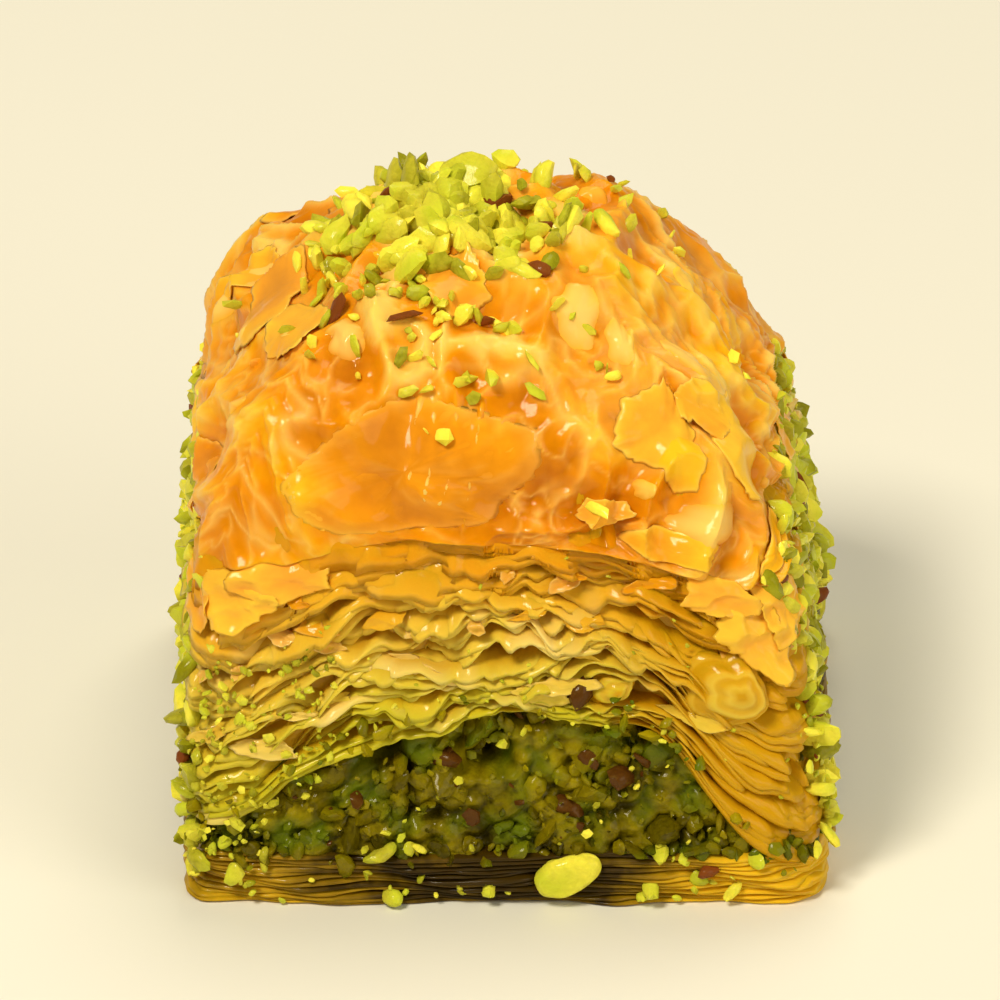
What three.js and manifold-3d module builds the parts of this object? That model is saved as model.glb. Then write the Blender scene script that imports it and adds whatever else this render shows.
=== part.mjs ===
// A square piece of pistachio baklava, cut from a tray: a thin foot of syrup-soaked pastry leaves, a layer of
// ground pistachio, and a tall stack of leaves that has puffed up in the oven into a wrinkled, golden pillow.
// Millimetres, +Z up. The piece stands on its foot with its origin under the middle, its front face towards -Y.

import * as THREE from "three";
import { mergeVertices } from "three/addons/utils/BufferGeometryUtils.js";
import Module from "manifold-3d";

const wasm = await Module();
wasm.setup();

// ---- Driving dimensions -------------------------------------------------------------------------------------

const FOOT_WIDTH = 40; // left to right, across the foot
const FOOT_DEPTH = 39; // front to back, across the foot
const CROWN_HEIGHT = 37.8; // from the foot up to the top of the crust
const WALL_LEAN = 2.6; // how far each cut side leans in between the foot and the shoulder
const SIDE_SHIFT = -1.2; // how far the shoulder has slid to the left of the foot

const SHOULDER_MIDDLE = 24.2; // height at which the crust begins, at the middle of a side
const SHOULDER_CORNER = 21.2; // and at a corner, where the crust sags
const FILLING_TOP_MIDDLE = 13.1; // top of the filling at the middle of a side
const FILLING_TOP_CORNER = 7.4; // and at a corner, where the leaves droop and nearly close over it
const FILLING_TOP_CENTRE = 13.6; // and inside, under the crown
const SHOULDER_DROOP = 6; // how close to the corner the shoulder starts to sink: higher is closer
const FILLING_DROOP = 8;
const BASE_THICKNESS = 3.4; // the leaves under the filling
const LAYER_GAP = 0.3; // free space between two layers that lie on each other

const CORNER_SHARPNESS_FOOT = 16; // exponent of the superellipse: the foot was cut with a knife
const CORNER_SHARPNESS_CRUST = 8; // and the crust has shrunk into rounder corners

const FILLING_RECESS = 1.2; // how far the filling lies behind the leaves above it
const FILLING_SPREAD = 0.6; // and how much less than that it does on the foot
const BASE_RECESS = 0.25; // and the foot's leaves behind the widest line

const FOLD_SPACING = 4.8; // between the crust's main folds
const FOLD_HEIGHT = 1.15;
const FLAKE_STEP = 0.4; // thickness of the flakes that have stayed on top
const CRUST_ARC = 26; // length of the crust from the crown down to the shoulder
const CROWN_FLATNESS = 2.4; // how long the crown stays flat before it falls away
const SHOULDER_SOFTNESS = 0.78; // how softly it turns down into the cut sides
const RIGHT_SLOUCH = 0.22; // softer by this on the right, and crisper by it on the left
const SWAY = 0.45; // slow unevenness of every layer
const CRUST_OVERHANG = 0.25; // how far the crust's edge stands proud of the leaves
const LEAF_RIDGE = 0.34; // how far the bunches of leaves stand out of the cut sides

const SEGMENTS = 72; // steps around each layer, 18 to a side
const CRUMBS_ON_CROWN = 44;
const CRUMBS_ON_SLOPES = 18;
const CRUMBS_ON_SIDES = 30;
const NUTS_IN_FILLING = 40;
const CRUMBS_ON_BASE = 10;

// ---- Repeatable noise and random numbers --------------------------------------------------------------------

// A repeatable number from -1 to 1 for each pair of whole numbers.
function lattice(i, j) {
  const n = Math.sin(i * 127.1 + j * 311.7) * 43758.5453;
  return 2 * (n - Math.floor(n)) - 1;
}

// Smooth noise from -1 to 1: the lattice numbers, blended with an S-curve.
function noise(x, y) {
  const i = Math.floor(x);
  const j = Math.floor(y);
  const ease = (t) => t * t * (3 - 2 * t);
  const a = ease(x - i);
  const b = ease(y - j);
  const low = lattice(i, j) * (1 - a) + lattice(i + 1, j) * a;
  const high = lattice(i, j + 1) * (1 - a) + lattice(i + 1, j + 1) * a;
  return low * (1 - b) + high * b;
}

// A seeded stream of numbers from 0 to 1.
function randomStream(seed) {
  let state = seed;
  return () => {
    state = (state + 0x6d2b79f5) | 0;
    let t = Math.imul(state ^ (state >>> 15), 1 | state);
    t = (t + Math.imul(t ^ (t >>> 7), 61 | t)) ^ t;
    return ((t ^ (t >>> 14)) >>> 0) / 4294967296;
  };
}

// ---- The form, as functions of a place on the piece ---------------------------------------------------------

const mix = THREE.MathUtils.lerp;
const clamp01 = (t) => THREE.MathUtils.clamp(t, 0, 1);

// How far up the cut sides a height is: 0 at the foot, 1 at the shoulder and above.
const upTheWall = (z) => clamp01(z / SHOULDER_MIDDLE);

// How far the cut sides have leant in at a height: little over the filling, more towards the shoulder.
const wallLean = (z) => WALL_LEAN * Math.pow(upTheWall(z), 1.5);

// The corners are sharp at the foot and round at the shoulder.
const cornerSharpness = (z) => mix(CORNER_SHARPNESS_FOOT, CORNER_SHARPNESS_CRUST, upTheWall(z));

// A direction, as a point on the edge of the unit square: around runs from 0 to 1, anticlockwise seen from above,
// from the front left corner.
function squareEdge(around) {
  const turned = (around - Math.floor(around)) * 4;
  const side = Math.floor(turned);
  const along = 2 * (turned - side) - 1;
  return [[along, -1], [1, along], [-along, 1], [-1, -along]][side];
}

// The point of the cut side in a direction at a height. Outward is added to the half sizes, and share brings the
// point in towards the middle axis, which slides to the left with height.
function wallPoint(px, py, z, outward = 0, share = 1) {
  const n = cornerSharpness(z);
  const rounded = share * Math.pow(Math.pow(Math.abs(px), n) + Math.pow(Math.abs(py), n), -1 / n);
  const half = (size) => size / 2 - wallLean(z) + outward;
  return [SIDE_SHIFT * upTheWall(z) + px * rounded * half(FOOT_WIDTH), py * rounded * half(FOOT_DEPTH)];
}

// How near a direction is to a corner: 0 at the middle of a side, 1 on the diagonal.
function cornerness(px, py) {
  const big = Math.max(Math.abs(px), Math.abs(py), 1e-9);
  return Math.min(Math.abs(px), Math.abs(py)) / big;
}

// How much a layer has sunk towards a corner: 0 along the side and 1 on the diagonal, with a rounded turn there.
function cornerDroop(px, py, narrowness) {
  return Math.pow((2 * Math.abs(px * py)) / Math.max(px * px + py * py, 1e-9), narrowness);
}

// Slow unevenness that all the layers share, so that none is level.
function sway(x, y) {
  return SWAY * (Math.sin(x / 8.5 + 0.7) * Math.cos(y / 10.5 - 0.5) + 0.6 * Math.sin(y / 6.5 + x / 15));
}

// Height of the crust's lower edge and of the filling's top, at the cut sides.
function shoulderHeight(px, py) {
  return mix(SHOULDER_MIDDLE, SHOULDER_CORNER, cornerDroop(px, py, SHOULDER_DROOP)) + sway(px * 20, py * 20);
}

function fillingEdgeHeight(px, py) {
  return mix(FILLING_TOP_MIDDLE, FILLING_TOP_CORNER, cornerDroop(px, py, FILLING_DROOP)) + 0.7 * sway(px * 20 + 9, py * 20 - 4);
}

// The crust's long soft folds: ridges along the zero lines of a noise whose place is itself shaken, and a step
// where a flake of the top leaf has stayed on.
function folds(a, b) {
  const shakenA = a + 2.1 * noise(a / 6.5, b / 6.5 + 3.1);
  const shakenB = b + 2.1 * noise(a / 6.5 + 5.2, b / 6.5);
  const ridge = 1 - 2 * Math.abs(noise(shakenA / FOLD_SPACING, shakenB / FOLD_SPACING));
  const flake = clamp01((noise(a / 8 + 11.3, b / 8 - 2.4) - 0.1) * 5);
  return FOLD_HEIGHT * (ridge - 0.45) + FLAKE_STEP * flake;
}

// The pillow: a dome over the rounded square, steep at the shoulder and flat at the crown, that slouches to the
// right. Out is 0 at the crown and 1 at the shoulder. Its folds are pushed out along the way that a round dome's
// surface faces, and are calmer at the shoulder and down the four corners.
function crustPoint(px, py, out) {
  const share = Math.sin((Math.PI / 2) * out);
  const calm = Math.max(clamp01((out - 0.75) * 4), clamp01((out - 0.4) * 3) * Math.pow(cornerness(px, py), 4));
  const fold = mix(1, 0.3, calm) * folds(px * out * CRUST_ARC, py * out * CRUST_ARC);
  const [x, y] = wallPoint(px, py, SHOULDER_MIDDLE, CRUST_OVERHANG + fold * share, share);
  const edge = shoulderHeight(px, py);
  const softness = SHOULDER_SOFTNESS + RIGHT_SLOUCH * px * share;
  const dome = Math.pow(Math.max(0, 1 - Math.pow(share, CROWN_FLATNESS)), softness);
  return [x, y, edge + (CROWN_HEIGHT - edge) * dome + fold * Math.sqrt(1 - share * share)];
}

// The surface between the filling and the leaves above it.
function fillingTop(share, px, py) {
  return mix(FILLING_TOP_CENTRE, fillingEdgeHeight(px, py), Math.pow(share, 3));
}

// ---- Closed skins -------------------------------------------------------------------------------------------

// A sphere's grid, with each point moved to pointAt(around, ring). Ring 0 is the top middle and the last ring is
// the bottom middle, so the skin is closed.
function closedSkin(rings, pointAt) {
  const skin = new THREE.SphereGeometry(1, SEGMENTS, rings);
  const uv = skin.getAttribute("uv");
  const position = skin.getAttribute("position");
  for (let i = 0; i < position.count; i++) {
    const ring = Math.round((1 - uv.getY(i)) * rings);
    const pole = ring === 0 || ring === rings;
    const step = pole ? 0 : Math.round(uv.getX(i) * SEGMENTS) % SEGMENTS;
    position.setXYZ(i, ...pointAt(step / SEGMENTS, ring));
  }
  return skin;
}

// ---- The tall stack of leaves and its crust -----------------------------------------------------------------

const CRUST_RINGS = 16; // from the crown out to the shoulder
const LEAF_RINGS = 13; // down the cut side, two to each bunch of leaves
const MEETING_RINGS = 3; // of the surface where the filling meets the leaves above it, alike on both so they fit

function topPastrySkin() {
  return closedSkin(CRUST_RINGS + LEAF_RINGS + MEETING_RINGS, (around, ring) => {
    const [px, py] = squareEdge(around);
    if (ring <= CRUST_RINGS) return crustPoint(px, py, ring / CRUST_RINGS);
    const lip = fillingEdgeHeight(px, py) + LAYER_GAP;
    if (ring < CRUST_RINGS + LEAF_RINGS) {
      const down = (ring - CRUST_RINGS) / LEAF_RINGS;
      const ripple = 2.2 * noise(around * 26, down * 3.2 + 7) * down * (1 - down);
      const z = mix(shoulderHeight(px, py), lip, down) + ripple;
      const bunch = ring % 2 ? -LEAF_RIDGE : LEAF_RIDGE;
      const ragged = 0.25 * noise(around * 40 + 3, ring * 1.7);
      return [...wallPoint(px, py, z, bunch + ragged), z];
    }
    const share = 1 - (ring - CRUST_RINGS - LEAF_RINGS) / MEETING_RINGS;
    return [...wallPoint(px, py, lip, 0, share), fillingTop(share, px, py) + LAYER_GAP];
  });
}

// ---- The filling --------------------------------------------------------------------------------------------

const FILLING_SIDE_RINGS = 4;
const FILLING_BOTTOM_RINGS = 1;

// The filling's side at a height: behind the leaves above, spread a little on the foot, and lumpy.
function fillingSide(px, py, z, around, share = 1) {
  const spread = FILLING_SPREAD * (1 - clamp01((z - BASE_THICKNESS) / (FILLING_TOP_MIDDLE - BASE_THICKNESS)));
  const lumps = 0.35 * noise(around * 44 + 1.5, z * 0.6);
  return wallPoint(px, py, z, lumps + spread - FILLING_RECESS, share);
}

function fillingSkin() {
  return closedSkin(MEETING_RINGS + FILLING_SIDE_RINGS + FILLING_BOTTOM_RINGS, (around, ring) => {
    const [px, py] = squareEdge(around);
    const rim = fillingEdgeHeight(px, py);
    const floor = BASE_THICKNESS + LAYER_GAP;
    if (ring <= MEETING_RINGS) {
      const share = ring / MEETING_RINGS;
      return [...fillingSide(px, py, rim, around, share), fillingTop(share, px, py)];
    }
    const down = Math.min(1, (ring - MEETING_RINGS) / FILLING_SIDE_RINGS);
    const share = ring > MEETING_RINGS + FILLING_SIDE_RINGS ? 0 : 1;
    const z = mix(rim, floor, down);
    return [...fillingSide(px, py, z, around, share), z];
  });
}

// ---- The foot of leaves -------------------------------------------------------------------------------------

const BASE_TOP_RINGS = 1;
const BASE_SIDE_RINGS = 5;
const BASE_BOTTOM_RINGS = 1;

function baseSkin() {
  return closedSkin(BASE_TOP_RINGS + BASE_SIDE_RINGS + BASE_BOTTOM_RINGS, (around, ring) => {
    const [px, py] = squareEdge(around);
    const down = clamp01((ring - BASE_TOP_RINGS) / BASE_SIDE_RINGS);
    const z = BASE_THICKNESS * (1 - down);
    const onSide = ring >= BASE_TOP_RINGS && ring <= BASE_TOP_RINGS + BASE_SIDE_RINGS;
    const bunch = ring % 2 ? -0.22 : 0.12;
    const ragged = 0.22 * noise(around * 36 + 8, ring * 2.3);
    const outward = Math.min(0, bunch + ragged) - BASE_RECESS * (1 - down);
    return [...wallPoint(px, py, z, outward, onSide ? 1 : 0), z];
  });
}

// ---- Crumbs and nuts ----------------------------------------------------------------------------------------

const GOLDEN_ANGLE = Math.PI * (3 - Math.sqrt(5)); // turning by it spreads points evenly over a disc
const GOLDEN_SHARE = (Math.sqrt(5) - 1) / 2; // and stepping by it, along a line
const EVEN_STEP_ALONG = 0.7549; // two steps that together spread points evenly over a rectangle
const EVEN_STEP_UP = 0.5698;
const PINCH_U = -0.09; // middle of the pinch of crumbs on the crown, in shares of the way to the sides
const PINCH_V = 0.02;
const PINCH_REACH = 0.29; // and how far it has spread

// One angular bit of chopped pistachio: a faceted ball, stretched and turned at random.
function nutBit(random, size, place) {
  const bit = new THREE.IcosahedronGeometry(size / 2, 0);
  bit.scale(0.8 + 0.7 * random(), 0.65 + 0.4 * random(), 0.55 + 0.35 * random());
  bit.rotateX(random() * Math.PI);
  bit.rotateY(random() * Math.PI);
  bit.rotateZ(random() * Math.PI);
  return bit.translate(...place);
}

// The crust's surface at a distance from the crown, as shares of the way to the sides.
function onCrust(dx, dy) {
  const big = Math.max(Math.abs(dx), Math.abs(dy), 1e-9);
  return crustPoint(dx / big, dy / big, Math.min(1, big));
}

// The pinch of crumbs on the crown, thick in the middle, and the few that have rolled down the slopes.
function crownCrumbs() {
  const random = randomStream(11);
  const bits = [];
  const place = (u, v, size, sunk) => {
    const [x, y, z] = onCrust(u, v);
    bits.push(nutBit(random, size, [x, y, z + sunk * size]));
  };
  for (let i = 0; i < CRUMBS_ON_CROWN; i++) {
    const turn = i * GOLDEN_ANGLE;
    const far = Math.sqrt((i + 0.5) / CRUMBS_ON_CROWN);
    const u = PINCH_U + PINCH_REACH * far * 1.15 * Math.cos(turn) + 0.03 * (random() - 0.5);
    const v = PINCH_V + PINCH_REACH * far * Math.sin(turn) + 0.03 * (random() - 0.5);
    place(u, v, mix(2.2, 1.4, far) * (0.85 + 0.3 * random()), 0.16);
  }
  for (let i = 0; i < CRUMBS_ON_SLOPES; i++) {
    const turn = i * GOLDEN_ANGLE + 0.8;
    const far = 0.4 + 0.24 * ((i * GOLDEN_SHARE) % 1);
    place(far * Math.cos(turn), far * Math.sin(turn), 1.15 + 0.4 * random(), 0.1);
  }
  return bits;
}

// Crumbs that the syrup has stuck to the left and right sides, between the lip of the leaves and the shoulder.
function sideCrumbs() {
  const random = randomStream(23);
  const bits = [];
  for (let i = 0; i < CRUMBS_ON_SIDES; i++) {
    const across = 1.7 * (((i * EVEN_STEP_ALONG + 0.1) % 1) - 0.5);
    const [px, py] = i % 2 ? [1, across] : [-1, across];
    const lip = fillingEdgeHeight(px, py) + LAYER_GAP;
    const z = mix(lip + 1.6, shoulderHeight(px, py) - 0.6, (i * EVEN_STEP_UP + 0.05) % 1);
    bits.push(nutBit(random, 1.25 + 0.55 * random(), [...wallPoint(px, py, z, 0.1), z]));
  }
  return bits;
}

// Chopped nuts that show in the filling, on all four sides.
function fillingNuts() {
  const random = randomStream(37);
  const bits = [];
  for (let i = 0; i < NUTS_IN_FILLING; i++) {
    const around = (i + 0.3 + 0.4 * random()) / NUTS_IN_FILLING;
    const [px, py] = squareEdge(around);
    const room = fillingEdgeHeight(px, py) - BASE_THICKNESS - LAYER_GAP;
    const size = Math.min(2.5, 0.42 * room) * (0.8 + 0.2 * random());
    const low = BASE_THICKNESS + LAYER_GAP + 0.75 * size;
    const high = fillingEdgeHeight(px, py) - 0.2 - 0.8 * size;
    const z = mix(low, Math.max(low, high), (i * GOLDEN_SHARE) % 1);
    const share = 1 - (0.24 * size) / FOOT_WIDTH;
    bits.push(nutBit(random, size, [...fillingSide(px, py, z, around, share), z]));
  }
  return bits;
}

// A whole sliver of kernel and a few crumbs, stuck to the front and sides of the foot.
function baseCrumbs() {
  const random = randomStream(51);
  const [kernelX, kernelZ] = [3.6, 2.15];
  const kernel = new THREE.IcosahedronGeometry(1, 1).scale(2.1, 0.85, 1.15).rotateY(-0.42);
  kernel.translate(kernelX, -FOOT_DEPTH / 2 + 0.35, kernelZ);
  const bits = [kernel];
  for (let i = 0; i < CRUMBS_ON_BASE; i++) {
    const [px, py] = squareEdge((i + 0.55) / CRUMBS_ON_BASE);
    const size = 1.2 + 0.4 * random();
    const z = 1.2 + 1.2 * random();
    bits.push(nutBit(random, size, [...wallPoint(px, py, z, -0.45), z]));
  }
  return bits;
}

// ---- Joining with manifold-3d -------------------------------------------------------------------------------

function toSolid(geometry) {
  const bare = geometry.index ? geometry.toNonIndexed() : geometry.clone();
  bare.deleteAttribute("normal");
  bare.deleteAttribute("uv");
  const merged = mergeVertices(bare, 1e-4);
  return new wasm.Manifold(new wasm.Mesh({
    numProp: 3,
    vertProperties: new Float32Array(merged.attributes.position.array),
    triVerts: new Uint32Array(merged.index.array),
  }));
}

function toGeometry(solid) {
  const mesh = solid.getMesh();
  const geometry = new THREE.BufferGeometry();
  geometry.setAttribute("position", new THREE.BufferAttribute(mesh.vertProperties, 3));
  geometry.setIndex(new THREE.BufferAttribute(mesh.triVerts, 1));
  geometry.computeVertexNormals();
  return geometry;
}

// The layer's skin with its crumbs fused on. A crumb that would leave a loose scrap is dropped.
function fused(skin, bits) {
  const joined = bits.reduce((solid, bit) => solid.add(toSolid(bit)), toSolid(skin));
  const bodies = joined.decompose().sort((a, b) => b.volume() - a.volume());
  return toGeometry(bodies[0]);
}

// ---- The piece ----------------------------------------------------------------------------------------------

function layer(name, geometry, colour, roughness) {
  const material = new THREE.MeshStandardMaterial({ color: colour, roughness, metalness: 0 });
  const mesh = new THREE.Mesh(geometry, material);
  mesh.name = name;
  return mesh;
}

const baklava = new THREE.Group();
baklava.add(layer("base_pastry", fused(baseSkin(), baseCrumbs()), 0x9c7420, 0.35));
baklava.add(layer("pistachio_filling", fused(fillingSkin(), fillingNuts()), 0x6f6a14, 0.45));
baklava.add(layer("top_pastry", fused(topPastrySkin(), [...crownCrumbs(), ...sideCrumbs()]), 0xe9a638, 0.38));

export default baklava;
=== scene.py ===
# %% [markdown]
# # A piece of pistachio baklava
# Tray baklava is built from dozens of paper-thin pastry leaves. A few go under the nuts and many go
# over them. The whole tray is cut through, baked until the top leaves puff and turn gold, and
# soaked in syrup. Each piece then shows its layers on four cut sides. This lesson builds one piece
# in millimetres and lets numpy do the shaping: every surface is a formula over a grid, so a leaf
# can be made wavier or a crumb larger by changing one number.

import bmesh
import bpy
import numpy as np
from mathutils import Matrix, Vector


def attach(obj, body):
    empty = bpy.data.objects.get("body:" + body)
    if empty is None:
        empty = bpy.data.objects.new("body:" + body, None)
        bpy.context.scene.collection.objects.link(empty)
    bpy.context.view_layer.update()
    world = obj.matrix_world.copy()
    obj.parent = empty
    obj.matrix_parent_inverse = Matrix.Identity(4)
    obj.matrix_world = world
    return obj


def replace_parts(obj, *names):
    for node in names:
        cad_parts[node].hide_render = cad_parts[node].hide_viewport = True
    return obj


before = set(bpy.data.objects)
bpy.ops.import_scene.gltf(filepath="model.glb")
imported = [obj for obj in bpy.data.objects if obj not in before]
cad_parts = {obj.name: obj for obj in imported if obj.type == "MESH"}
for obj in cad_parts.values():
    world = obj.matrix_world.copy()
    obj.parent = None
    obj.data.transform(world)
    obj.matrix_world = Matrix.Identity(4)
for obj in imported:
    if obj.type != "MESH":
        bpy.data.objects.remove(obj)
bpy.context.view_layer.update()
MM = 0.001

# %% [markdown]
# ## The sizes that drive everything
# The solids of this piece come from a few sizes, and the dressed piece has to sit on the same form.
# So the same names and numbers are repeated here, and the rest of the script works from them. The
# piece flares towards its foot, its crown is a pillow, and all layers sag towards the corners.

# %% The sizes
FOOT_WIDTH = 40.0
FOOT_DEPTH = 39.0
CROWN_HEIGHT = 37.8
WALL_LEAN = 2.6  # how far each cut side leans in between the foot and the shoulder
SIDE_SHIFT = -1.2  # how far the shoulder has slid to the left of the foot
SHOULDER_MIDDLE = 24.2  # where the crust begins, at the middle of a side
SHOULDER_CORNER = 21.2
LIP_MIDDLE = 13.1  # the lowest leaf over the filling, at the middle of a side
LIP_CORNER = 7.4
LIP_CENTRE = 13.6
BASE_THICKNESS = 3.4
FILLING_RECESS = 1.2
FILLING_SPREAD = 0.6
FOLD_SPACING = 4.8
FOLD_HEIGHT = 1.15
FLAKE_STEP = 0.4
CRUST_ARC = 26.0  # length of the crust from the crown down to the shoulder
CROWN_FLATNESS = 2.4  # how long the crown stays flat before it falls away
SHOULDER_SOFTNESS = 0.78  # how softly it turns down into the cut sides
RIGHT_SLOUCH = 0.22  # softer by this on the right, and crisper by it on the left
CRUST_OVERHANG = 0.25
SWAY = 0.45
PERIMETER = 148.0  # once round the cut sides, halfway up
FRONT_RIGHT_CORNER = 0.25  # shares of the way around, which starts at the front left corner
RIGHT_MIDDLE = 0.375
LEFT_MIDDLE = 0.875

# %% [markdown]
# ## Noise
# Pastry is never regular, so nearly every formula below adds noise. Blender has noise of its own,
# but it works on one point at a time. This one takes whole arrays: it gives every crossing of a
# square lattice a repeatable number and blends between them. It needs no random state, so each run
# gives the same pastry.

# %% Noise from -1 to 1
def lattice(i, j):
    """A repeatable number from -1 to 1 for each lattice point: the far digits of a sine."""
    far = np.sin(i * 127.1 + j * 311.7) * 43758.5453
    return 2 * (far - np.floor(far)) - 1


def noise(x, y):
    """The lattice numbers blended with the S-curve 3t^2 - 2t^3 along x and along y."""
    i, j = np.floor(x), np.floor(y)
    a, b = x - i, y - j
    a, b = a * a * (3 - 2 * a), b * b * (3 - 2 * b)
    low = lattice(i, j) * (1 - a) + lattice(i + 1, j) * a
    high = lattice(i, j + 1) * (1 - a) + lattice(i + 1, j + 1) * a
    return low * (1 - b) + high * b


def swirl(x, y):
    """Noise turned by 37 degrees and added at two scales, so that the lattice's own directions
    don't show."""
    turned_x, turned_y = 0.8 * x - 0.6 * y, 0.6 * x + 0.8 * y
    return 0.66 * noise(turned_x, turned_y) + 0.34 * noise(2.1 * x + 7.7, 2.1 * y - 3.3)


def crease(x, y, sharpness):
    """Sharp ridges from 0 to 1, along the lines where a swirl is zero."""
    return (1 - np.minimum(1, 2.4 * np.abs(swirl(x, y)))) ** sharpness


def hollows(x, y, row=0):
    """Smooth hollows that meet in sharp ridges: the squared distance to the nearest of scattered centres,
    one in each square of a lattice. It is 0 in the middle of a hollow and about 0.5 on a ridge."""
    nearest = np.full(np.broadcast(x, y).shape, 9.0)
    for right in (-1, 0, 1):
        for up in (-1, 0, 1):
            i, j = np.floor(x) + right, np.floor(y) + up
            away_x = i + 0.5 + 0.42 * lattice(i + row, j) - x
            away_y = j + 0.5 + 0.42 * lattice(i, j + row + 7) - y
            nearest = np.minimum(nearest, away_x ** 2 + away_y ** 2)
    return nearest


def step(edge, width, value):
    """0 below the edge, 1 above it, smooth over the width."""
    t = np.clip((value - edge) / width + 0.5, 0, 1)
    return t * t * (3 - 2 * t)


def mix(a, b, t):
    """a where t is 0, b where it is 1, and evenly between."""
    return a * (1 - t) + b * t


def bell(value, middle, half_width, power=2):
    """1 at the middle and nearly 0 beyond twice the half width. A higher power has a flatter top."""
    return np.exp(-np.abs((value - middle) / half_width) ** power)


def each(values):
    """One number for each sheet, leaf or bit, shaped so that it goes with all the points of its own."""
    return np.reshape(values, (-1, 1, 1))


print("Noise at the origin:", noise(0.0, 0.0))

# %% [markdown]
# ## The form of the piece
# A place on the piece is a direction from its middle axis and a height. The direction is a point (px,
# py) on the edge of the square from -1 to 1, which suits a square piece better than an angle: each cut
# side is one straight run. A superellipse rounds the corners, more at the shoulder than at the foot.

# %% The cut sides
def square_edge(around):
    """A point on the unit square's edge. Around runs from 0 to 1, anticlockwise from the front left
    corner."""
    turned = (around % 1.0) * 4
    side = np.floor(turned).astype(int)
    along = 2 * (turned - side) - 1
    px = np.choose(side, [along, np.ones_like(along), -along, -np.ones_like(along)])
    py = np.choose(side, [-np.ones_like(along), along, np.ones_like(along), -along])
    return px, py


def corner_droop(px, py, narrowness):
    """How much a layer has sunk towards a corner: 0 along the side and 1 on the diagonal, with a
    rounded turn."""
    return (2 * np.abs(px * py) / (px * px + py * py)) ** narrowness


def wall_point(px, py, z, outward=0.0, share=1.0):
    """x and y of the cut side at height z: the square rounded by (|px|^n + |py|^n)^(-1/n), shrunk
    by the lean and slid sideways. Outward adds to the half sizes, and share brings the point in
    towards the axis."""
    up = np.clip(z / SHOULDER_MIDDLE, 0, 1)
    n = mix(16.0, 8.0, up)
    rounded = share * (np.abs(px) ** n + np.abs(py) ** n) ** (-1 / n)
    grown = outward - WALL_LEAN * up ** 1.5
    x = SIDE_SHIFT * up + px * rounded * (FOOT_WIDTH / 2 + grown)
    return x, py * rounded * (FOOT_DEPTH / 2 + grown)


def sway(x, y):
    """Slow unevenness that all layers share."""
    return SWAY * (np.sin(x / 8.5 + 0.7) * np.cos(y / 10.5 - 0.5) + 0.6 * np.sin(y / 6.5 + x / 15))


def shoulder_height(px, py):
    """Height of the crust's edge: it sinks towards the corners."""
    return mix(SHOULDER_MIDDLE, SHOULDER_CORNER, corner_droop(px, py, 6)) + sway(px * 20, py * 20)


def lip_height(px, py):
    """Height of the lowest leaf over the filling, the lip: it sinks much further."""
    return mix(LIP_MIDDLE, LIP_CORNER, corner_droop(px, py, 8)) + 0.7 * sway(px * 20 + 9, py * 20 - 4)


def along_from(around, place):
    """How many millimetres a way around lies past a place on the rim, less than half a round either way."""
    return ((around - place + 0.5) % 1.0 - 0.5) * PERIMETER


def rim_noise(px, py, per_side, row=0.0):
    """Noise that runs round the piece without a seam, with so many waves to a side and a row of its own."""
    return noise(px * per_side / 2 + 7.31 * row + 0.37, py * per_side / 2 - 3.17 * row + 0.61)


# %% The crust and the leaves that nest under it
def folds(a, b):
    """Long soft folds: ridges along the zero lines of a shaken noise, and a step where a flake has
    stayed on."""
    shaken_a = a + 2.1 * noise(a / 6.5, b / 6.5 + 3.1)
    shaken_b = b + 2.1 * noise(a / 6.5 + 5.2, b / 6.5)
    ridge = 1 - 2 * np.abs(noise(shaken_a / FOLD_SPACING, shaken_b / FOLD_SPACING))
    flake = np.clip((noise(a / 8 + 11.3, b / 8 - 2.4) - 0.1) * 5, 0, 1)
    return FOLD_HEIGHT * (ridge - 0.45) + FLAKE_STEP * flake


def leaf_surface(px, py, out, t=1.0, relief=0.0, outward=0.0):
    """A point of the leaf at level t, from 0 for the lowest leaf over the filling to 1 for the
    crust. Out runs from 0 at the crown to 1 at the cut side. The height blends the filling's top
    with the crust's dome, and the dome, its folds and the relief fade with t cubed, so lower leaves
    lie flatter and no two leaves cross."""
    share = np.sin(np.pi / 2 * np.minimum(out, 1.0))
    flat = np.sqrt(1 - share ** 2)
    calm = np.clip((out - 0.75) * 4, 0, 1)
    calm = np.maximum(calm, np.clip((out - 0.4) * 3, 0, 1) * corner_droop(px, py, 16))
    fold = mix(1, 0.3, calm) * folds(px * out * CRUST_ARC, py * out * CRUST_ARC) + relief
    puffed = t ** 3
    wall = mix(lip_height(px, py), shoulder_height(px, py), t)
    pushed = (CRUST_OVERHANG + fold * share) * puffed + outward
    x, y = wall_point(px, py, wall, pushed, share)
    dome = np.maximum(0, 1 - share ** CROWN_FLATNESS) ** (SHOULDER_SOFTNESS + RIGHT_SLOUCH * px * share)
    under = mix(LIP_CENTRE, lip_height(px, py), share ** 3)
    edge = shoulder_height(px, py)
    z = mix(under, edge, t) + puffed * ((CROWN_HEIGHT - edge) * dome + fold * flat)
    return x, y, z


def unfold(a, b):
    """Direction and way out for a place a, b in millimetres on the crust rolled flat, the crown at 0, 0."""
    a = np.where(np.abs(a) < 1e-6, 1e-6, a)  # the crown itself has no direction, so it gets one
    big = np.maximum(np.abs(a), np.abs(b))
    return a / big, b / big, big / CRUST_ARC


crown = leaf_surface(*unfold(np.array([0.0]), np.array([0.0])))
print("The crown is at z =", round(float(crown[2][0]), 2), "mm")

# %% [markdown]
# ## From arrays to a mesh
# Every piece ends in the same few steps: its points and faces go into a mesh in metres, named
# numbers that the materials read are stored on its points, and it rides on the body of the packed
# model. The faces of a grid come from its row and column numbers, and a grid can be closed along
# one way or both, as a ring or a tube is.

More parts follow.
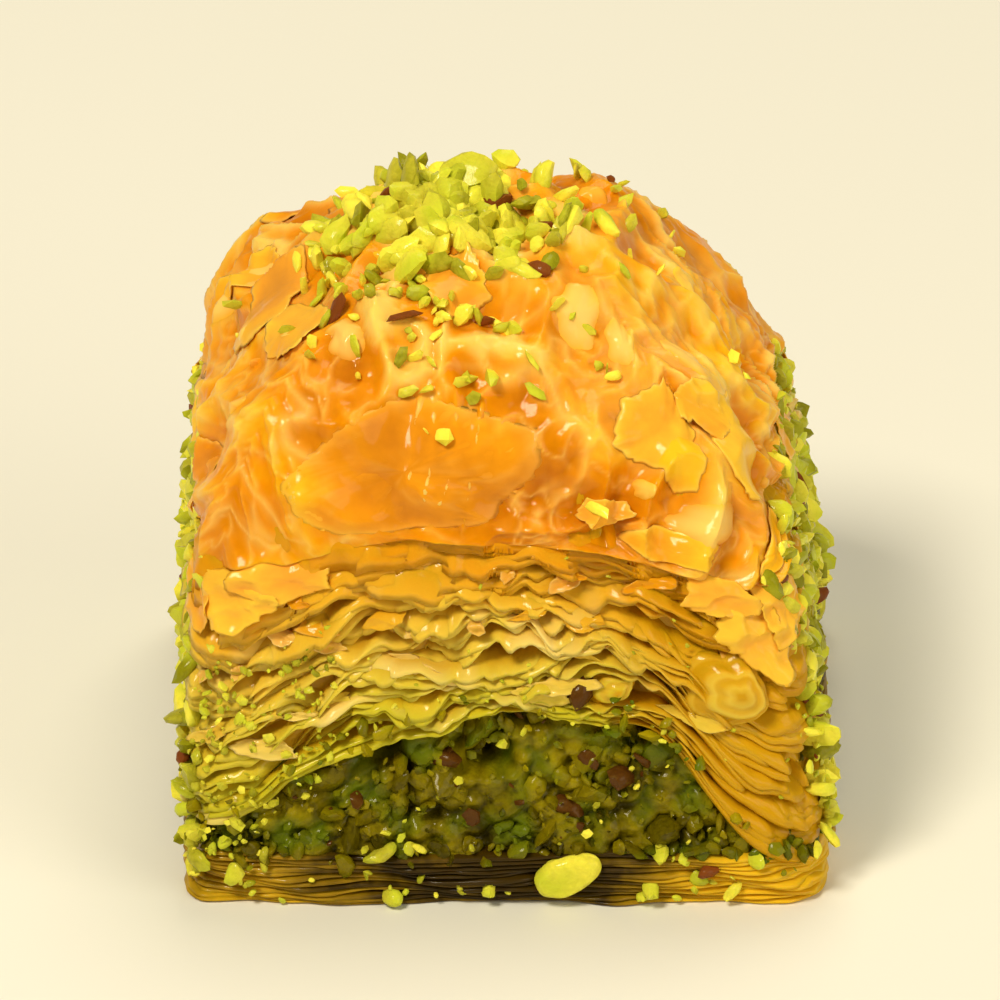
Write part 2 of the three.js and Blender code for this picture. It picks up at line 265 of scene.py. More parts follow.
# %% Mesh helpers
def grid_faces(rows, columns, close_rows=False, close_columns=False):
    """Quads between neighbouring points of a grid that is stored row by row."""
    r = np.arange(rows if close_rows else rows - 1)[:, None]
    c = np.arange(columns if close_columns else columns - 1)[None, :]
    r2, c2 = (r + 1) % rows, (c + 1) % columns
    corners = [r * columns + c, r * columns + c2, r2 * columns + c2, r2 * columns + c]
    return np.stack(np.broadcast_arrays(*corners), -1).reshape(-1, 4)


def copies(faces, count):
    """The faces of one body, repeated for so many bodies whose points follow one another."""
    starts = np.arange(count) * (faces.max() + 1)
    return (faces[None] + each(starts)).reshape(-1, faces.shape[1])


def as_points(x, y, z):
    """Coordinates of any matching shapes as one row of three for each point."""
    return np.stack(np.broadcast_arrays(x, y, z), -1).reshape(-1, 3)


def make_piece(name, points, faces, material, slot, smooth_angle=180.0, **fields):
    """Puts points in millimetres and faces of three or four corners into a new object that rides on
    the piece."""
    corners = faces.shape[1]
    mesh = bpy.data.meshes.new(name)
    mesh.vertices.add(len(points))
    mesh.vertices.foreach_set("co", (points * MM).astype(np.float32).ravel())
    mesh.loops.add(faces.size)
    mesh.loops.foreach_set("vertex_index", faces.astype(np.int32).ravel())
    mesh.polygons.add(len(faces))
    mesh.polygons.foreach_set("loop_start", np.arange(0, faces.size, corners, dtype=np.int32))
    mesh.update(calc_edges=True)
    mesh.validate()
    mesh.shade_smooth()
    if smooth_angle < 180:
        mesh.set_sharp_from_angle(angle=np.radians(smooth_angle))
    for field, values in fields.items():
        made = mesh.attributes.new(field, "FLOAT", "POINT")
        values = np.asarray(values, np.float32).ravel()
        made.data.foreach_set("value", np.broadcast_to(values, len(points)).astype(np.float32))
    mesh.materials.append(material)
    piece = bpy.data.objects.new(name, mesh)
    bpy.context.scene.collection.objects.link(piece)
    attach(piece, "root")
    print(f"{name}: {len(points)} points, {len(faces) * (corners - 2)} triangles")
    return piece


# %% [markdown]
# ## Finishes
# Food looks alive because light goes a little way into it and comes out again, and because syrup
# leaves a clear glossy film on top. Both are sockets of the Principled shader: subsurface for the
# first, coat for the second. The colour then varies with how the pastry baked and with painted light
# and shade, and that comes from the numbers stored on each piece.

# %% Colour and node helpers
def linear(code, alpha=1.0):
    """An sRGB hex colour as the linear colour that shaders work with."""
    values = np.array([int(code[i:i + 2], 16) for i in (1, 3, 5)]) / 255
    values = np.where(values <= 0.04045, values / 12.92, ((values + 0.055) / 1.055) ** 2.4)
    return (*values.tolist(), alpha)


def add_node(tree, kind, links=(), **settings):
    """Adds one node. Settings are its own options, or its sockets' values, named s_ and the
    socket's name or number. Links are pairs of one of its sockets and the output that feeds it."""
    node = tree.nodes.new(kind)
    for key, value in settings.items():
        if key.startswith("s_"):
            name = key[2:].replace("_", " ")
            node.inputs[int(name) if name.isdigit() else name].default_value = value
        else:
            setattr(node, key, value)
    for socket, output in links:
        tree.links.new(output, node.inputs[socket])
    return node


def start_material(name):
    """A new material with an empty node tree. Returns both."""
    material = bpy.data.materials.new(name)
    material.use_nodes = True
    tree = material.node_tree
    tree.nodes.clear()
    return material, tree


def layered_colour(tree, base, layers):
    """A base colour with others laid over it. Each layer is the output that drives it, the two
    levels between which it goes from nothing to full, and its colour."""
    bottom = add_node(tree, "ShaderNodeRGB")
    bottom.outputs[0].default_value = linear(base)
    colour = bottom.outputs[0]
    for driver, none, full, code in layers:
        share = add_node(
            tree, "ShaderNodeMapRange", [("Value", driver)], clamp=True, s_From_Min=none, s_From_Max=full
        )
        links = [(0, share.outputs[0]), (6, colour)]
        colour = add_node(tree, "ShaderNodeMix", links, data_type="RGBA", s_7=linear(code)).outputs[2]
    return colour


# %% [markdown]
# ### Baked filo
# The crust is filo pastry brushed with butter, baked at high heat and glazed with sugar syrup while
# hot. Thin ridges stand clear of the butter and stay pale gold, hollows fry to orange brown, and
# loose bubbles bleach to cream. Part of that colour is painted light: painted highlight on the
# ridges, painted shade in the hollows and painted light on both shoulders. The syrup film gives
# sharp small lights on every fold.

# %% Baked filo
def baked_filo(name, glow):
    """Baked filo whose light goes in by the share called glow. A loose flake is too thin for any."""
    material, tree = start_material(name)
    place = add_node(tree, "ShaderNodeTexCoord").outputs["Object"]
    bake, pale = (add_node(tree, "ShaderNodeAttribute", attribute_name=field).outputs["Fac"]
                  for field in ("bake", "pale"))
    # Butter dries in spots of about 1.5 mm, and the leaf's own grain is about 0.3 mm.
    spots = add_node(tree, "ShaderNodeTexNoise", [("Vector", place)], s_Scale=1 / (1.5 * MM), s_Detail=3.0)
    grain = add_node(tree, "ShaderNodeTexNoise", [("Vector", place)], s_Scale=1 / (0.3 * MM), s_Detail=2.0)
    uneven = add_node(
        tree, "ShaderNodeMath", [(0, spots.outputs[0]), (2, bake)], operation="MULTIPLY_ADD", s_1=0.5
    ).outputs[0]
    colour = layered_colour(tree, "#F7C01C", [
        (uneven, 0.25, 0.7, "#EC9402"),
        (uneven, 0.7, 1.25, "#C06C00"),
        (pale, 0.0, 1.0, "#FCD876"),
    ])
    rough = add_node(tree, "ShaderNodeMapRange", [("Value", spots.outputs[0])], s_To_Min=0.3, s_To_Max=0.5)
    bump = add_node(
        tree, "ShaderNodeBump", [("Height", grain.outputs[0])], s_Strength=0.25, s_Distance=0.06 * MM
    )
    skin = add_node(
        tree, "ShaderNodeBsdfPrincipled",
        [("Base Color", colour), ("Roughness", rough.outputs[0]), ("Normal", bump.outputs[0])],
        s_IOR=1.42, s_Specular_IOR_Level=0.2, s_Specular_Tint=linear("#FFC84A"),
        s_Subsurface_Weight=glow, s_Subsurface_Radius=(1.0, 0.6, 0.1), s_Subsurface_Scale=0.8 * MM,
        s_Coat_Weight=0.3, s_Coat_Roughness=0.06, s_Coat_IOR=1.45,
    )
    add_node(tree, "ShaderNodeOutputMaterial", [("Surface", skin.outputs[0])])
    return material


# %% [markdown]
# ### Steamed filo
# Under the crust the leaves steam instead of frying. They stay cream, turn gold towards the top, and take
# up green oil from the nuts at the bottom. Between them the colour is darkened as painted shade, and
# the cream on their edges is partly painted highlight.

# %% Steamed filo
def steamed_filo():
    """Steamed filo, coloured by how high its leaf lies, darker between the leaves as painted shade, and
    cream where its tone is high, partly as painted highlight.
    """
    material, tree = start_material("steamed_filo_leaves")
    place = add_node(tree, "ShaderNodeTexCoord").outputs["Object"]
    rise, depth, tone = (add_node(tree, "ShaderNodeAttribute", attribute_name=field).outputs["Fac"]
                         for field in ("rise", "depth", "tone"))
    # Syrup soaks in along the leaves in patches of about 2.5 mm.
    soak = add_node(tree, "ShaderNodeTexNoise", [("Vector", place)], s_Scale=1 / (2.5 * MM), s_Detail=3.0)
    grain = add_node(tree, "ShaderNodeTexNoise", [("Vector", place)], s_Scale=1 / (0.25 * MM), s_Detail=2.0)
    level = add_node(
        tree, "ShaderNodeMath", [(0, soak.outputs[0]), (2, rise)], operation="MULTIPLY_ADD", s_1=0.22
    ).outputs[0]
    colour = layered_colour(tree, "#C8C428", [
        (level, 0.15, 0.56, "#ECD050"),
        (level, 0.54, 0.78, "#F4C236"),
        (level, 0.7, 1.0, "#EC9408"),
        # The cream layer is partly painted highlight on the leaves' edges.
        (tone, 0.55, 1.1, "#FFE694"),
        # The last layer is painted shade between the leaves.
        (depth, 0.0, 1 / 0.65, "#CC9A0C"),
    ])
    bump = add_node(
        tree, "ShaderNodeBump", [("Height", grain.outputs[0])], s_Strength=0.4, s_Distance=0.07 * MM
    )
    skin = add_node(
        tree, "ShaderNodeBsdfPrincipled", [("Base Color", colour), ("Normal", bump.outputs[0])],
        s_Roughness=0.45, s_IOR=1.4, s_Specular_IOR_Level=0.3, s_Specular_Tint=linear("#FFDC78"),
        s_Subsurface_Weight=0.2, s_Subsurface_Radius=(1.0, 0.7, 0.2),
        s_Subsurface_Scale=0.3 * MM, s_Coat_Weight=0.3, s_Coat_Roughness=0.08, s_Coat_IOR=1.45,
    )
    add_node(tree, "ShaderNodeOutputMaterial", [("Surface", skin.outputs[0])])
    return material


# %% [markdown]
# ### Soaked filo
# The foot stands in the syrup that runs to the bottom of the tray. Its leaves are pressed together
# and turn amber brown and nearly clear, with a wet shine.

# %% Soaked filo
def soaked_filo():
    """Soaked filo, amber where its tone is high and nearly black brown where it is low, and darker
    between its leaves as painted shade.
    """
    material, tree = start_material("soaked_filo_foot")
    place = add_node(tree, "ShaderNodeTexCoord").outputs["Object"]
    depth, tone = (add_node(tree, "ShaderNodeAttribute", attribute_name=field).outputs["Fac"]
                   for field in ("depth", "tone"))
    # Syrup soaks in by patches of about 2.2 mm.
    soak = add_node(tree, "ShaderNodeTexNoise", [("Vector", place)], s_Scale=1 / (2.2 * MM), s_Detail=3.0)
    level = add_node(
        tree, "ShaderNodeMath", [(0, soak.outputs[0]), (2, tone)], operation="MULTIPLY_ADD", s_1=0.6
    ).outputs[0]
    # The second layer is painted shade between the leaves.
    colour = layered_colour(tree, "#3A2A00", [(level, 0.4, 1.25, "#ECBC1C"), (depth, 0.0, 1.0, "#3C2604")])
    bump = add_node(
        tree, "ShaderNodeBump", [("Height", soak.outputs[0])], s_Strength=0.3, s_Distance=0.1 * MM
    )
    skin = add_node(
        tree, "ShaderNodeBsdfPrincipled", [("Base Color", colour), ("Normal", bump.outputs[0])],
        s_Roughness=0.4, s_IOR=1.35, s_Specular_IOR_Level=0.2,
        s_Subsurface_Weight=0.2, s_Subsurface_Radius=(1.0, 0.5, 0.1), s_Subsurface_Scale=0.4 * MM,
        s_Coat_Weight=0.25, s_Coat_Roughness=0.06, s_Coat_IOR=1.45,
    )
    add_node(tree, "ShaderNodeOutputMaterial", [("Surface", skin.outputs[0])])
    return material


# %% [markdown]
# ### Pistachio
# Chopped pistachio is bright yellow green inside and darker green under its papery purple-brown skin.
# Dry crumbs on top are matt and light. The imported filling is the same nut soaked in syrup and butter,
# so it is dark, wet and glossy. One function makes both, with its colours and its wetness given.

# %% Pistachio
def pistachio(name, bright, deep, greener, skin_colour, roughness, coat):
    """Chopped nut between a bright and a deep colour by its tone, in patches of a greener one."""
    material, tree = start_material(name)
    place = add_node(tree, "ShaderNodeTexCoord").outputs["Object"]
    tone, skin = (add_node(tree, "ShaderNodeAttribute", attribute_name=field).outputs["Fac"]
                  for field in ("tone", "skin"))
    # The cut flesh is mealy, with grains of about 0.35 mm.
    meal = add_node(tree, "ShaderNodeTexNoise", [("Vector", place)], s_Scale=1 / (0.35 * MM), s_Detail=3.0)
    shade = add_node(
        tree, "ShaderNodeMath", [(0, meal.outputs[0]), (2, tone)], operation="MULTIPLY_ADD", s_1=0.5
    ).outputs[0]
    # Nuts from one end of the sack are greener than the others, so they lie in patches of about 3 mm.
    sack = add_node(
        tree, "ShaderNodeTexNoise", [("Vector", place)], s_Scale=1 / (3.0 * MM), s_Detail=1.0
    ).outputs[0]
    colour = layered_colour(tree, bright, [
        (shade, 0.2, 1.2, deep),
        (sack, 0.46, 0.68, greener),
        (skin, 0.4, 0.6, skin_colour),
    ])
    bump = add_node(
        tree, "ShaderNodeBump", [("Height", meal.outputs[0])], s_Strength=0.7, s_Distance=0.14 * MM
    )
    flesh = add_node(
        tree, "ShaderNodeBsdfPrincipled", [("Base Color", colour), ("Normal", bump.outputs[0])],
        s_Roughness=roughness, s_IOR=1.42, s_Specular_IOR_Level=0.2, s_Specular_Tint=linear("#FFF078"),
        s_Subsurface_Weight=0.2, s_Subsurface_Radius=(0.7, 1.0, 0.15), s_Subsurface_Scale=0.4 * MM,
        s_Coat_Weight=coat, s_Coat_Roughness=0.1,
    )
    add_node(tree, "ShaderNodeOutputMaterial", [("Surface", flesh.outputs[0])])
    return material


crust_finish = baked_filo("baked_filo_in_syrup", 0.3)
flake_finish = baked_filo("loose_flakes_of_baked_filo", 0.0)
leaf_finish = steamed_filo()
foot_finish = soaked_filo()
crumb_finish = pistachio(
    "dry_chopped_pistachio", bright="#FAF04E", deep="#8C8A10", greener="#CED434", skin_colour="#7E4018",
    roughness=0.5, coat=0.2,
)
nut_finish = pistachio(
    "wet_ground_pistachio", bright="#A2920A", deep="#403800", greener="#5E6C0A", skin_colour="#54300C",
    roughness=0.45, coat=0.18,
)
print("Finishes:", ", ".join(m.name for m in bpy.data.materials if m.node_tree and m.users == 0))

# %% [markdown]
# ## The crust
# The crust is the part that everyone looks at. It is one sheet here, on a square grid, because a
# grid of squares keeps its cells even over a square pillow, where a grid of circles would bunch at
# the crown. On the long folds that the solids have it carries what they leave out: wrinkles,
# pleats, pale creases and fine blisters.

# %% Relief of the crust
def wrinkles(a, b):
    """Wrinkles as in draped wet cloth: hollows of about 5 mm and of 2.2 mm, longer downhill,
    between sharp ridges, in millimetres of height. The small ones die out where a noise says that
    the leaf is stretched smooth."""
    shaken_a = a + 1.3 * swirl(a / 5.0, b / 5.0 + 9)
    shaken_b = b + 1.3 * swirl(a / 5.0 - 4, b / 5.0)
    loose = step(0.0, 0.5, swirl(a / 9 + 2, b / 9 + 6))
    large = 1.25 * hollows(shaken_a / 5.2, shaken_b / 5.2)
    small = 0.62 * hollows(shaken_a / 2.3 + 5, shaken_b / 2.6, 3)
    return large + mix(0.35, 1.0, loose) * small


def pleats(a, b):
    """Long narrow pleats 1.5 mm apart that run downhill, and reach about 9 mm. They gather on the
    right of the crown and in a few other places."""
    shaken = 0.8 * swirl(a / 6, b / 6 + 20)
    sideways = noise((b + 0.5 * a + shaken) / 1.5, a / 9 + 3)
    forwards = noise((a - 0.2 * b + shaken) / 1.5, b / 9 + 3)
    ridge = (1 - np.abs(mix(sideways, forwards, step(0.0, 4.0, np.abs(b) - np.abs(a))))) ** 3
    right = bell(a, 13, 7) * bell(b, -1, 9)
    gathered = np.maximum(right, step(0.15, 0.4, swirl(a / 8 + 40, b / 8)))
    return 0.6 * ridge * gathered


def crackle(a, b):
    """Fine blisters of about 1 mm with pits between them, where the leaf has dried hard."""
    dried = step(-0.1, 0.5, swirl(a / 7 - 12, b / 7 + 4))
    shaken_a, shaken_b = a + 0.4 * swirl(a / 1.2, b / 1.2), b + 0.4 * swirl(a / 1.2 + 8, b / 1.2)
    return mix(0.05, 0.2, dried) * (0.6 - 1.6 * hollows(shaken_a / 1.1, shaken_b / 1.2, 11))


def creases(a, b):
    """How much of a pale crease there is, from 0 to 1. They are hairlines about 3 mm apart where
    the top leaf crumpled as it dried, fewer where it is stretched smooth. Their paleness is partly
    painted highlight."""
    shaken_a, shaken_b = a + 0.8 * swirl(a / 2.6, b / 2.6 + 3), b + 0.8 * swirl(a / 2.6 - 8, b / 2.6)
    loose = step(-0.05, 0.5, swirl(a / 8 + 17, b / 8 - 3))
    coarse = crease(shaken_a / 4.2 + 31, shaken_b / 4.6, 4)
    return mix(0.15, 1.0, loose) * np.maximum(coarse, 0.7 * crease(shaken_a / 2.1, shaken_b / 2.3 + 13, 4))


def crust_relief(px, py, out, crisp=1.0):
    """What stands on the folds, in millimetres, about level with them on average. It is calmer near
    the edge, most of all at the corners. Leaves under the crust have none of its crisp fine part."""
    a, b = px * out * CRUST_ARC, py * out * CRUST_ARC
    fine = crisp * (pleats(a, b) + crackle(a, b) + 0.22 * creases(a, b) + 0.05 * swirl(a / 0.7, b / 0.7))
    near_edge = step(0.88, 0.24, out)
    near_corner = step(0.75, 0.5, out) * corner_droop(px, py, 5)
    return (wrinkles(a, b) + fine - 0.5) * (1 - 0.5 * near_edge) * (1 - 0.75 * near_corner)


def painted_shoulder_light(a, b):
    """Painted light on the crust, from 0 to 1: on its right shoulder and on its left one."""
    return bell(a, 15, 8) * bell(b, -5, 13) + bell(a, -18, 7) * bell(b, 2, 12)


def baking_and_painted_light(a, b, relief):
    """The colour number of a place: 0 where a ridge has stayed pale gold and 1 where a hollow fried
    dark. It carries painted light too: painted highlight on the ridges, painted shade in the hollows
    and painted light on both shoulders."""
    ridge = (folds(a, b) + 0.4) / 1.5
    return 0.55 - 0.22 * ridge - 0.7 * relief + 0.32 * swirl(a / 6 + 30, b / 6) - 0.22 * painted_shoulder_light(a, b)


# %% The crust's sheet
CRUST_CELLS = 280
# The rows that turn the edge under and close the sheet: share inward and how far below, in millimetres.
TURNED_UNDER = ((0.0, 0.22), (0.03, 0.4), (0.25, 1.2))


def crust_bite(px, py):
    """How far the crust has broken back from the shoulder, as a share of its length."""
    ragged = 0.5 + 0.5 * rim_noise(px, py, 7, 1)
    torn = step(0.15, 0.25, rim_noise(px, py, 5, 2))
    return 0.002 + 0.02 * ragged ** 2 + 0.03 * torn + 0.008 * rim_noise(px, py, 26, 3)


def crust_sheet():
    """Points of the crust: a square grid of ways a, b over the pillow, shrunk to the ragged edge, and
    three more rows along its border that go round the leaf's edge and meet in one point inside."""
    ways = np.linspace(-CRUST_ARC, CRUST_ARC, CRUST_CELLS + 1)
    a, b = np.meshgrid(ways, ways)
    px, py, out = unfold(a, b)
    out = out * (1 - crust_bite(px, py) * step(0.5, 1.0, out))
    relief = crust_relief(px, py, out)
    sheet_a, sheet_b = px * out * CRUST_ARC, py * out * CRUST_ARC
    # The colour number is partly baking and partly painted light: painted shade in the hollows, painted
    # highlight on the ridges.
    bake = baking_and_painted_light(sheet_a, sheet_b, relief)
    # Paler on high relief and on the creases: partly painted highlight on the ridges.
    pale = np.maximum(0.7 * step(0.3, 0.6, relief), 0.5 * creases(sheet_a, sheet_b))
    # Patches of painted light on both shoulders.
    dried = painted_shoulder_light(sheet_a, sheet_b) * step(0.1, 0.5, swirl(sheet_a / 2.5 + 60, sheet_b / 3.5))
    pale = np.maximum(pale, 0.5 * dried)
    top = as_points(*leaf_surface(px, py, out, 1.0, relief))
    # The border, once round, anticlockwise.
    n = CRUST_CELLS + 1
    index = np.arange(n * n).reshape(n, n)
    border = np.concatenate([index[0, :-1], index[:-1, -1], index[-1, :0:-1], index[:0:-1, 0]])
    rim_px, rim_py, rim_out = px.ravel()[border], py.ravel()[border], out.ravel()[border]
    rim_relief = relief.ravel()[border]
    under = []
    for inward, lower in TURNED_UNDER:
        height = rim_relief * (1 - inward / TURNED_UNDER[-1][0]) - lower
        under.append(as_points(*leaf_surface(rim_px, rim_py, rim_out - inward, 1.0, height)))
    middle = np.array([[SIDE_SHIFT, 0.0, SHOULDER_MIDDLE + 4.0]])
    points = np.concatenate([top, *under, middle])
    rounds = [border] + [n * n + k * len(border) + np.arange(len(border)) for k in range(len(under))]
    strips = [np.stack([r1, r2, np.roll(r2, -1), np.roll(r1, -1)], -1) for r1, r2 in zip(rounds, rounds[1:])]
    last = rounds[-1]
    fan = np.stack([last, np.full_like(last, len(points) - 1), np.roll(last, -1)], -1)
    faces = np.concatenate([grid_faces(n, n), *strips])
    triangles = np.concatenate([faces[:, [0, 1, 2]], faces[:, [0, 2, 3]], fan])
    extra = len(points) - n * n
    bake = np.concatenate([bake.ravel(), np.full(extra, 0.6)])
    pale = np.concatenate([pale.ravel(), np.zeros(extra)])
    return points, triangles, bake, pale


points, triangles, bake, pale = crust_sheet()
crust = make_piece("golden_crust", points, triangles, crust_finish, "baked_pastry", bake=bake, pale=pale)
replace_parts(crust, "top_pastry")
print("Bake runs from", bake.min().round(2), "to", bake.max().round(2))

# %% [markdown]
# ## Flakes
# The topmost leaves don't stay whole: they blister, tear and curl, and scraps of them lie on the
# crust like fallen leaves. Each scrap is a closed sheet of its own, so its torn edge casts a
# shadow, which no bump can do. All scraps are worked out at once in arrays of scrap, ring and
# direction, and laid on the crust by its own formula.

# %% Torn sheets
def torn_sheets(centres, half_sizes, turned, lift, seed, soft=0.0, rings=12, directions=72, thickness=0.08):
    """Rolled-out places and heights of thin closed sheets. Brittle pastry breaks along nearly
    straight cracks, so a sheet's radius is the least of offset / cos(angle to the crack) over eight
    random cracks, with a fine noise. A soft one is a bubble and nearly round. A sheet rises from
    its middle as the third power of the way out, by the lift, more in some directions than in
    others. The rings run out over the top and back below."""
    random = np.random.default_rng(seed)
    count = len(centres)
    top = np.linspace(0, 1, rings) ** 0.8
    way = np.concatenate([top, top[-2::-3]])[None, :, None]
    side = np.concatenate([np.ones(rings - 1), [0.0], -np.ones(len(top[-2::-3]))])[None, :, None]
    angle = np.linspace(0, 2 * np.pi, directions + 1)[:-1][None, None, :]
    row = random.uniform(0, 90, (count, 1, 1))
    x, y = np.cos(angle), np.sin(angle)
    crack = random.uniform(0, 2 * np.pi, (count, 8, 1))
    offset = random.uniform(0.65, 1.05, (count, 8, 1))
    radius = (offset / np.maximum(np.cos(angle[0] - crack), 0.05)).min(axis=1)[:, None, :]
    radius = np.minimum(radius, 1.15) + 0.07 * noise(5 * x + row, 5 * y) + 0.04 * noise(15 * x, 15 * y + row)
    radius = mix(radius, 1 + 0.25 * noise(1.8 * x + row, 1.8 * y), each(soft))
    u = way * radius * x * each(half_sizes[:, 0])
    v = way * radius * y * each(half_sizes[:, 1])
    cos, sin = np.cos(each(turned)), np.sin(each(turned))
    a = each(centres[:, 0]) + u * cos - v * sin
    b = each(centres[:, 1]) + u * sin + v * cos
    raised = each(lift) * way ** 3 * (0.5 + 0.8 * noise(1.1 * x - row, 1.1 * y + 5))
    return a, b, way, raised, side * thickness / 2, row


def sheet_faces(count, rings, directions):
    """The faces of so many torn sheets. Their first ring and their last one meet in a point each."""
    return copies(grid_faces(rings, directions, close_columns=True), count)


def flakes_on_crust(name, centres, half_sizes, turned, lift, seed, paleness, soft=0.0, **detail):
    """Flakes that lie on the crust. In its middle a flake bridges the wrinkles at a height of its
    own, and towards its edge it comes down on them, apart from its lift. A soft one is a bubble: it
    stands out of the crust as a dome and goes into it at its edge."""
    a, b, way, raised, skin, row = torn_sheets(centres, half_sizes, turned, lift, seed, soft, **detail)
    soft = each(soft)
    px, py, out = unfold(a, b)
    out = np.minimum(out, 0.995)
    below = crust_relief(px, py, out)
    own = 0.3 + 0.1 * swirl(a / 2.2 + row, b / 2.2)
    lying = mix(np.maximum(own, below), below, way ** 3) + 0.03 + raised
    domed = below * (0.5 + 0.5 * way) + 0.3 * (1 - way ** 2) - 0.15 * way ** 4
    domed = domed + 0.08 * swirl(a / 0.8, b / 0.8)
    points = as_points(*leaf_surface(px, py, out, 1.0, mix(lying, domed, soft) + skin))
    random = np.random.default_rng(seed + 1)
    # The largest flake lay nearest the heat and is a little darker.
    tint = random.uniform(-0.3, 0.05, len(centres)) + 0.1 * (half_sizes[:, 0] > 8)
    # The colour follows the crust's relief below, so it carries painted shade and painted highlight; the rim
    # is paler.
    bake = baking_and_painted_light(a, b, 0.5 * below + 0.1) + each(tint) - 0.3 * way ** 8
    pale = each(paleness) * mix(1.0, 1 - way ** 3, soft)
    pale = np.maximum(pale, mix(0.5 * way ** 10, 0.4 * creases(a, b), soft))
    faces = sheet_faces(*a.shape)
    piece = make_piece(name, points, faces, flake_finish, "baked_pastry", bake=bake, pale=pale)
    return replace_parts(piece, "top_pastry")


def clear_of_front(rows):
    """The rows whose place is outside an ellipse round the large smooth flake at the front."""
    return rows[((rows[:, 0] + 5.0) / 14.5) ** 2 + ((rows[:, 1] + 19.6) / 7.0) ** 2 > 1]


random = np.random.default_rng(70)
# The large smooth flakes over the front edge of the crust: place, two half sizes and turn.
large = np.array([
    (-6.0, -19.2, 10.8, 4.9, 0.15),
    (16.5, -13.0, 2.2, 4.6, 0.5),
    (14.2, -22.0, 3.6, 2.2, 0.2),
    (8.2, -20.6, 2.2, 1.3, 0.3),
])
# Others lie all over it.
count = 16
spread = np.stack([
    random.uniform(-24, 24, count),
    random.uniform(-22, 24, count),
    random.uniform(1.8, 4.6, count),
    random.uniform(1.4, 3.2, count),
    random.uniform(0, np.pi, count),
], -1)
sheets = np.concatenate([large, clear_of_front(spread)])
rest = len(sheets) - len(large)
lifts = np.concatenate([[0.0, 0.15, 0.2, 0.9], random.uniform(0.0, 0.4, rest)])
softness = np.concatenate([[0.45, 0.2, 0.2, 0.0], np.zeros(rest)])
paleness = random.uniform(0, 0.45, len(sheets)) ** 2
flakes_on_crust(
    "large_flakes", sheets[:, :2], sheets[:, 2:4], sheets[:, 4], lifts, 71, paleness, softness
)

# %% Pale bubbles
# Bubbles of the top leaf that dried pale, by place and radius. Most lie on the left and the right
# of the crown.
palest = np.array([
    (-19.0, 5.0, 1.7), (-15.5, 4.8, 1.4), (-9.2, -10.5, 1.8), (5.0, -8.5, 2.2), (8.0, -9.5, 1.5),
    (-16.5, -4.0, 1.8), (-13.0, -8.0, 1.3), (10.6, -14.6, 2.8), (15.6, -19.2, 2.6), (12.0, -8.5, 1.8),
])
count = 30
spread = np.stack([
    random.uniform(-22, 22, count),
    random.uniform(-20, 22, count),
    random.uniform(0.4, 1.2, count),
], -1)
bubbles = np.concatenate([palest, clear_of_front(spread)])
sizes = 0.85 * bubbles[:, 2:] * random.uniform([1.0, 0.7], [1.3, 1.0], (len(bubbles), 2))
paleness = random.uniform(0.1, 0.6, len(bubbles) - len(palest))
paleness = np.concatenate([np.full(len(palest), 0.75), paleness])
turned = random.normal(0, 0.5, len(bubbles))
flakes_on_crust(
    "pale_bubbles", bubbles[:, :2], sizes, turned, np.zeros(len(bubbles)), 73, paleness, 1.0,
    rings=10, directions=40,
)

# %% [markdown]
# ## The leaves at the cut sides
# Below the crust some thirty leaves show their edges. Each is a thin band that runs once round the
# piece: a small closed outline, a leaf's edge with its rounded tip, carried along the cut sides.
# Modelling whole sheets would waste points where nobody looks. A smooth noise of place and level
# moves neighbouring leaves together, so they bunch and open as real ones do, and pockets force a
# few of them apart.

# %% Pockets between the leaves
# Each pocket: way around, level, half width in millimetres and height of the gap. The first five
# are at the front.
POCKETS = (
    (0.172, 0.2, 2.6, 3.8), (0.071, 0.03, 2.2, 1.4), (0.12, 0.42, 2.6, 0.8), (0.04, 0.62, 1.8, 0.6),
    (0.15, 0.72, 2.2, 0.6), (0.32, 0.3, 2.4, 1.2), (0.42, 0.12, 3.0, 1.0), (0.55, 0.34, 2.2, 1.1),
    (0.66, 0.1, 2.6, 1.2), (0.80, 0.25, 2.6, 1.2), (0.93, 0.4, 2.0, 1.0),
)


def pocket_lift(around, t):
    """How far the pockets push a leaf: up above a pocket's level, down below it, and less further away."""
    lift = 0.0
    for centre, level, half_width, gap in POCKETS:
        beside = bell(along_from(around, centre), 0, half_width)
        lift = lift + gap / 2 * np.tanh((t - level) / 0.006) * beside * bell(t, level, 0.16, 1)
    return lift


def pocket_depth(around, t):
    """How much of a pocket there is behind the leaves, from 0 to 1."""
    deep = 0.0
    for centre, level, half_width, _ in POCKETS:
        beside = bell(along_from(around, centre), 0, half_width)
        deep = np.maximum(deep, beside * bell(t, level, 0.12))
    return deep


# %% The leaf bands
LEAF_STEPS = 600  # steps round the piece, a quarter of a millimetre each
BUNDLES = (3, 3, 2, 3, 4, 2, 3, 3, 4, 3)  # leaves that cling together, from the lip up
BUNDLE_GAP = 0.9  # the gap between two bundles, in leaves
LEAF_THICKNESS = 0.32
# The outline of a leaf's edge: distance in from the tip and half thickness as a share, over the top
# and back below.
LEAF_OUTLINE = np.array([(3.4, 1), (1.7, 1), (0.9, 1), (0.45, 0.85), (0.15, 0.5), (0, 0),
                         (0.15, -0.5), (0.45, -0.85), (0.9, -1), (1.7, -1), (3.4, -1)])
FAN_DROP = 4.8  # how far the lowest leaf hangs down at the front right corner
# Each fan: way around, its share of that drop and how far it reaches to either side in millimetres.
FANS = (
    (0.0, 0.5, 7.0), (0.075, 0.3, 4.5), (FRONT_RIGHT_CORNER, 1.0, 6.9), (0.5, 0.4, 6.0), (0.75, 0.35, 6.0),
)


def corner_fan(around):
    """How much the leaves fan out and hang down: 1 at the front right corner, less in the other
    fans, 0 between."""
    fan = 0.0
    for centre, share, reach in FANS:
        fan = fan + share * bell(along_from(around, centre), 0, reach, 4)
    return fan


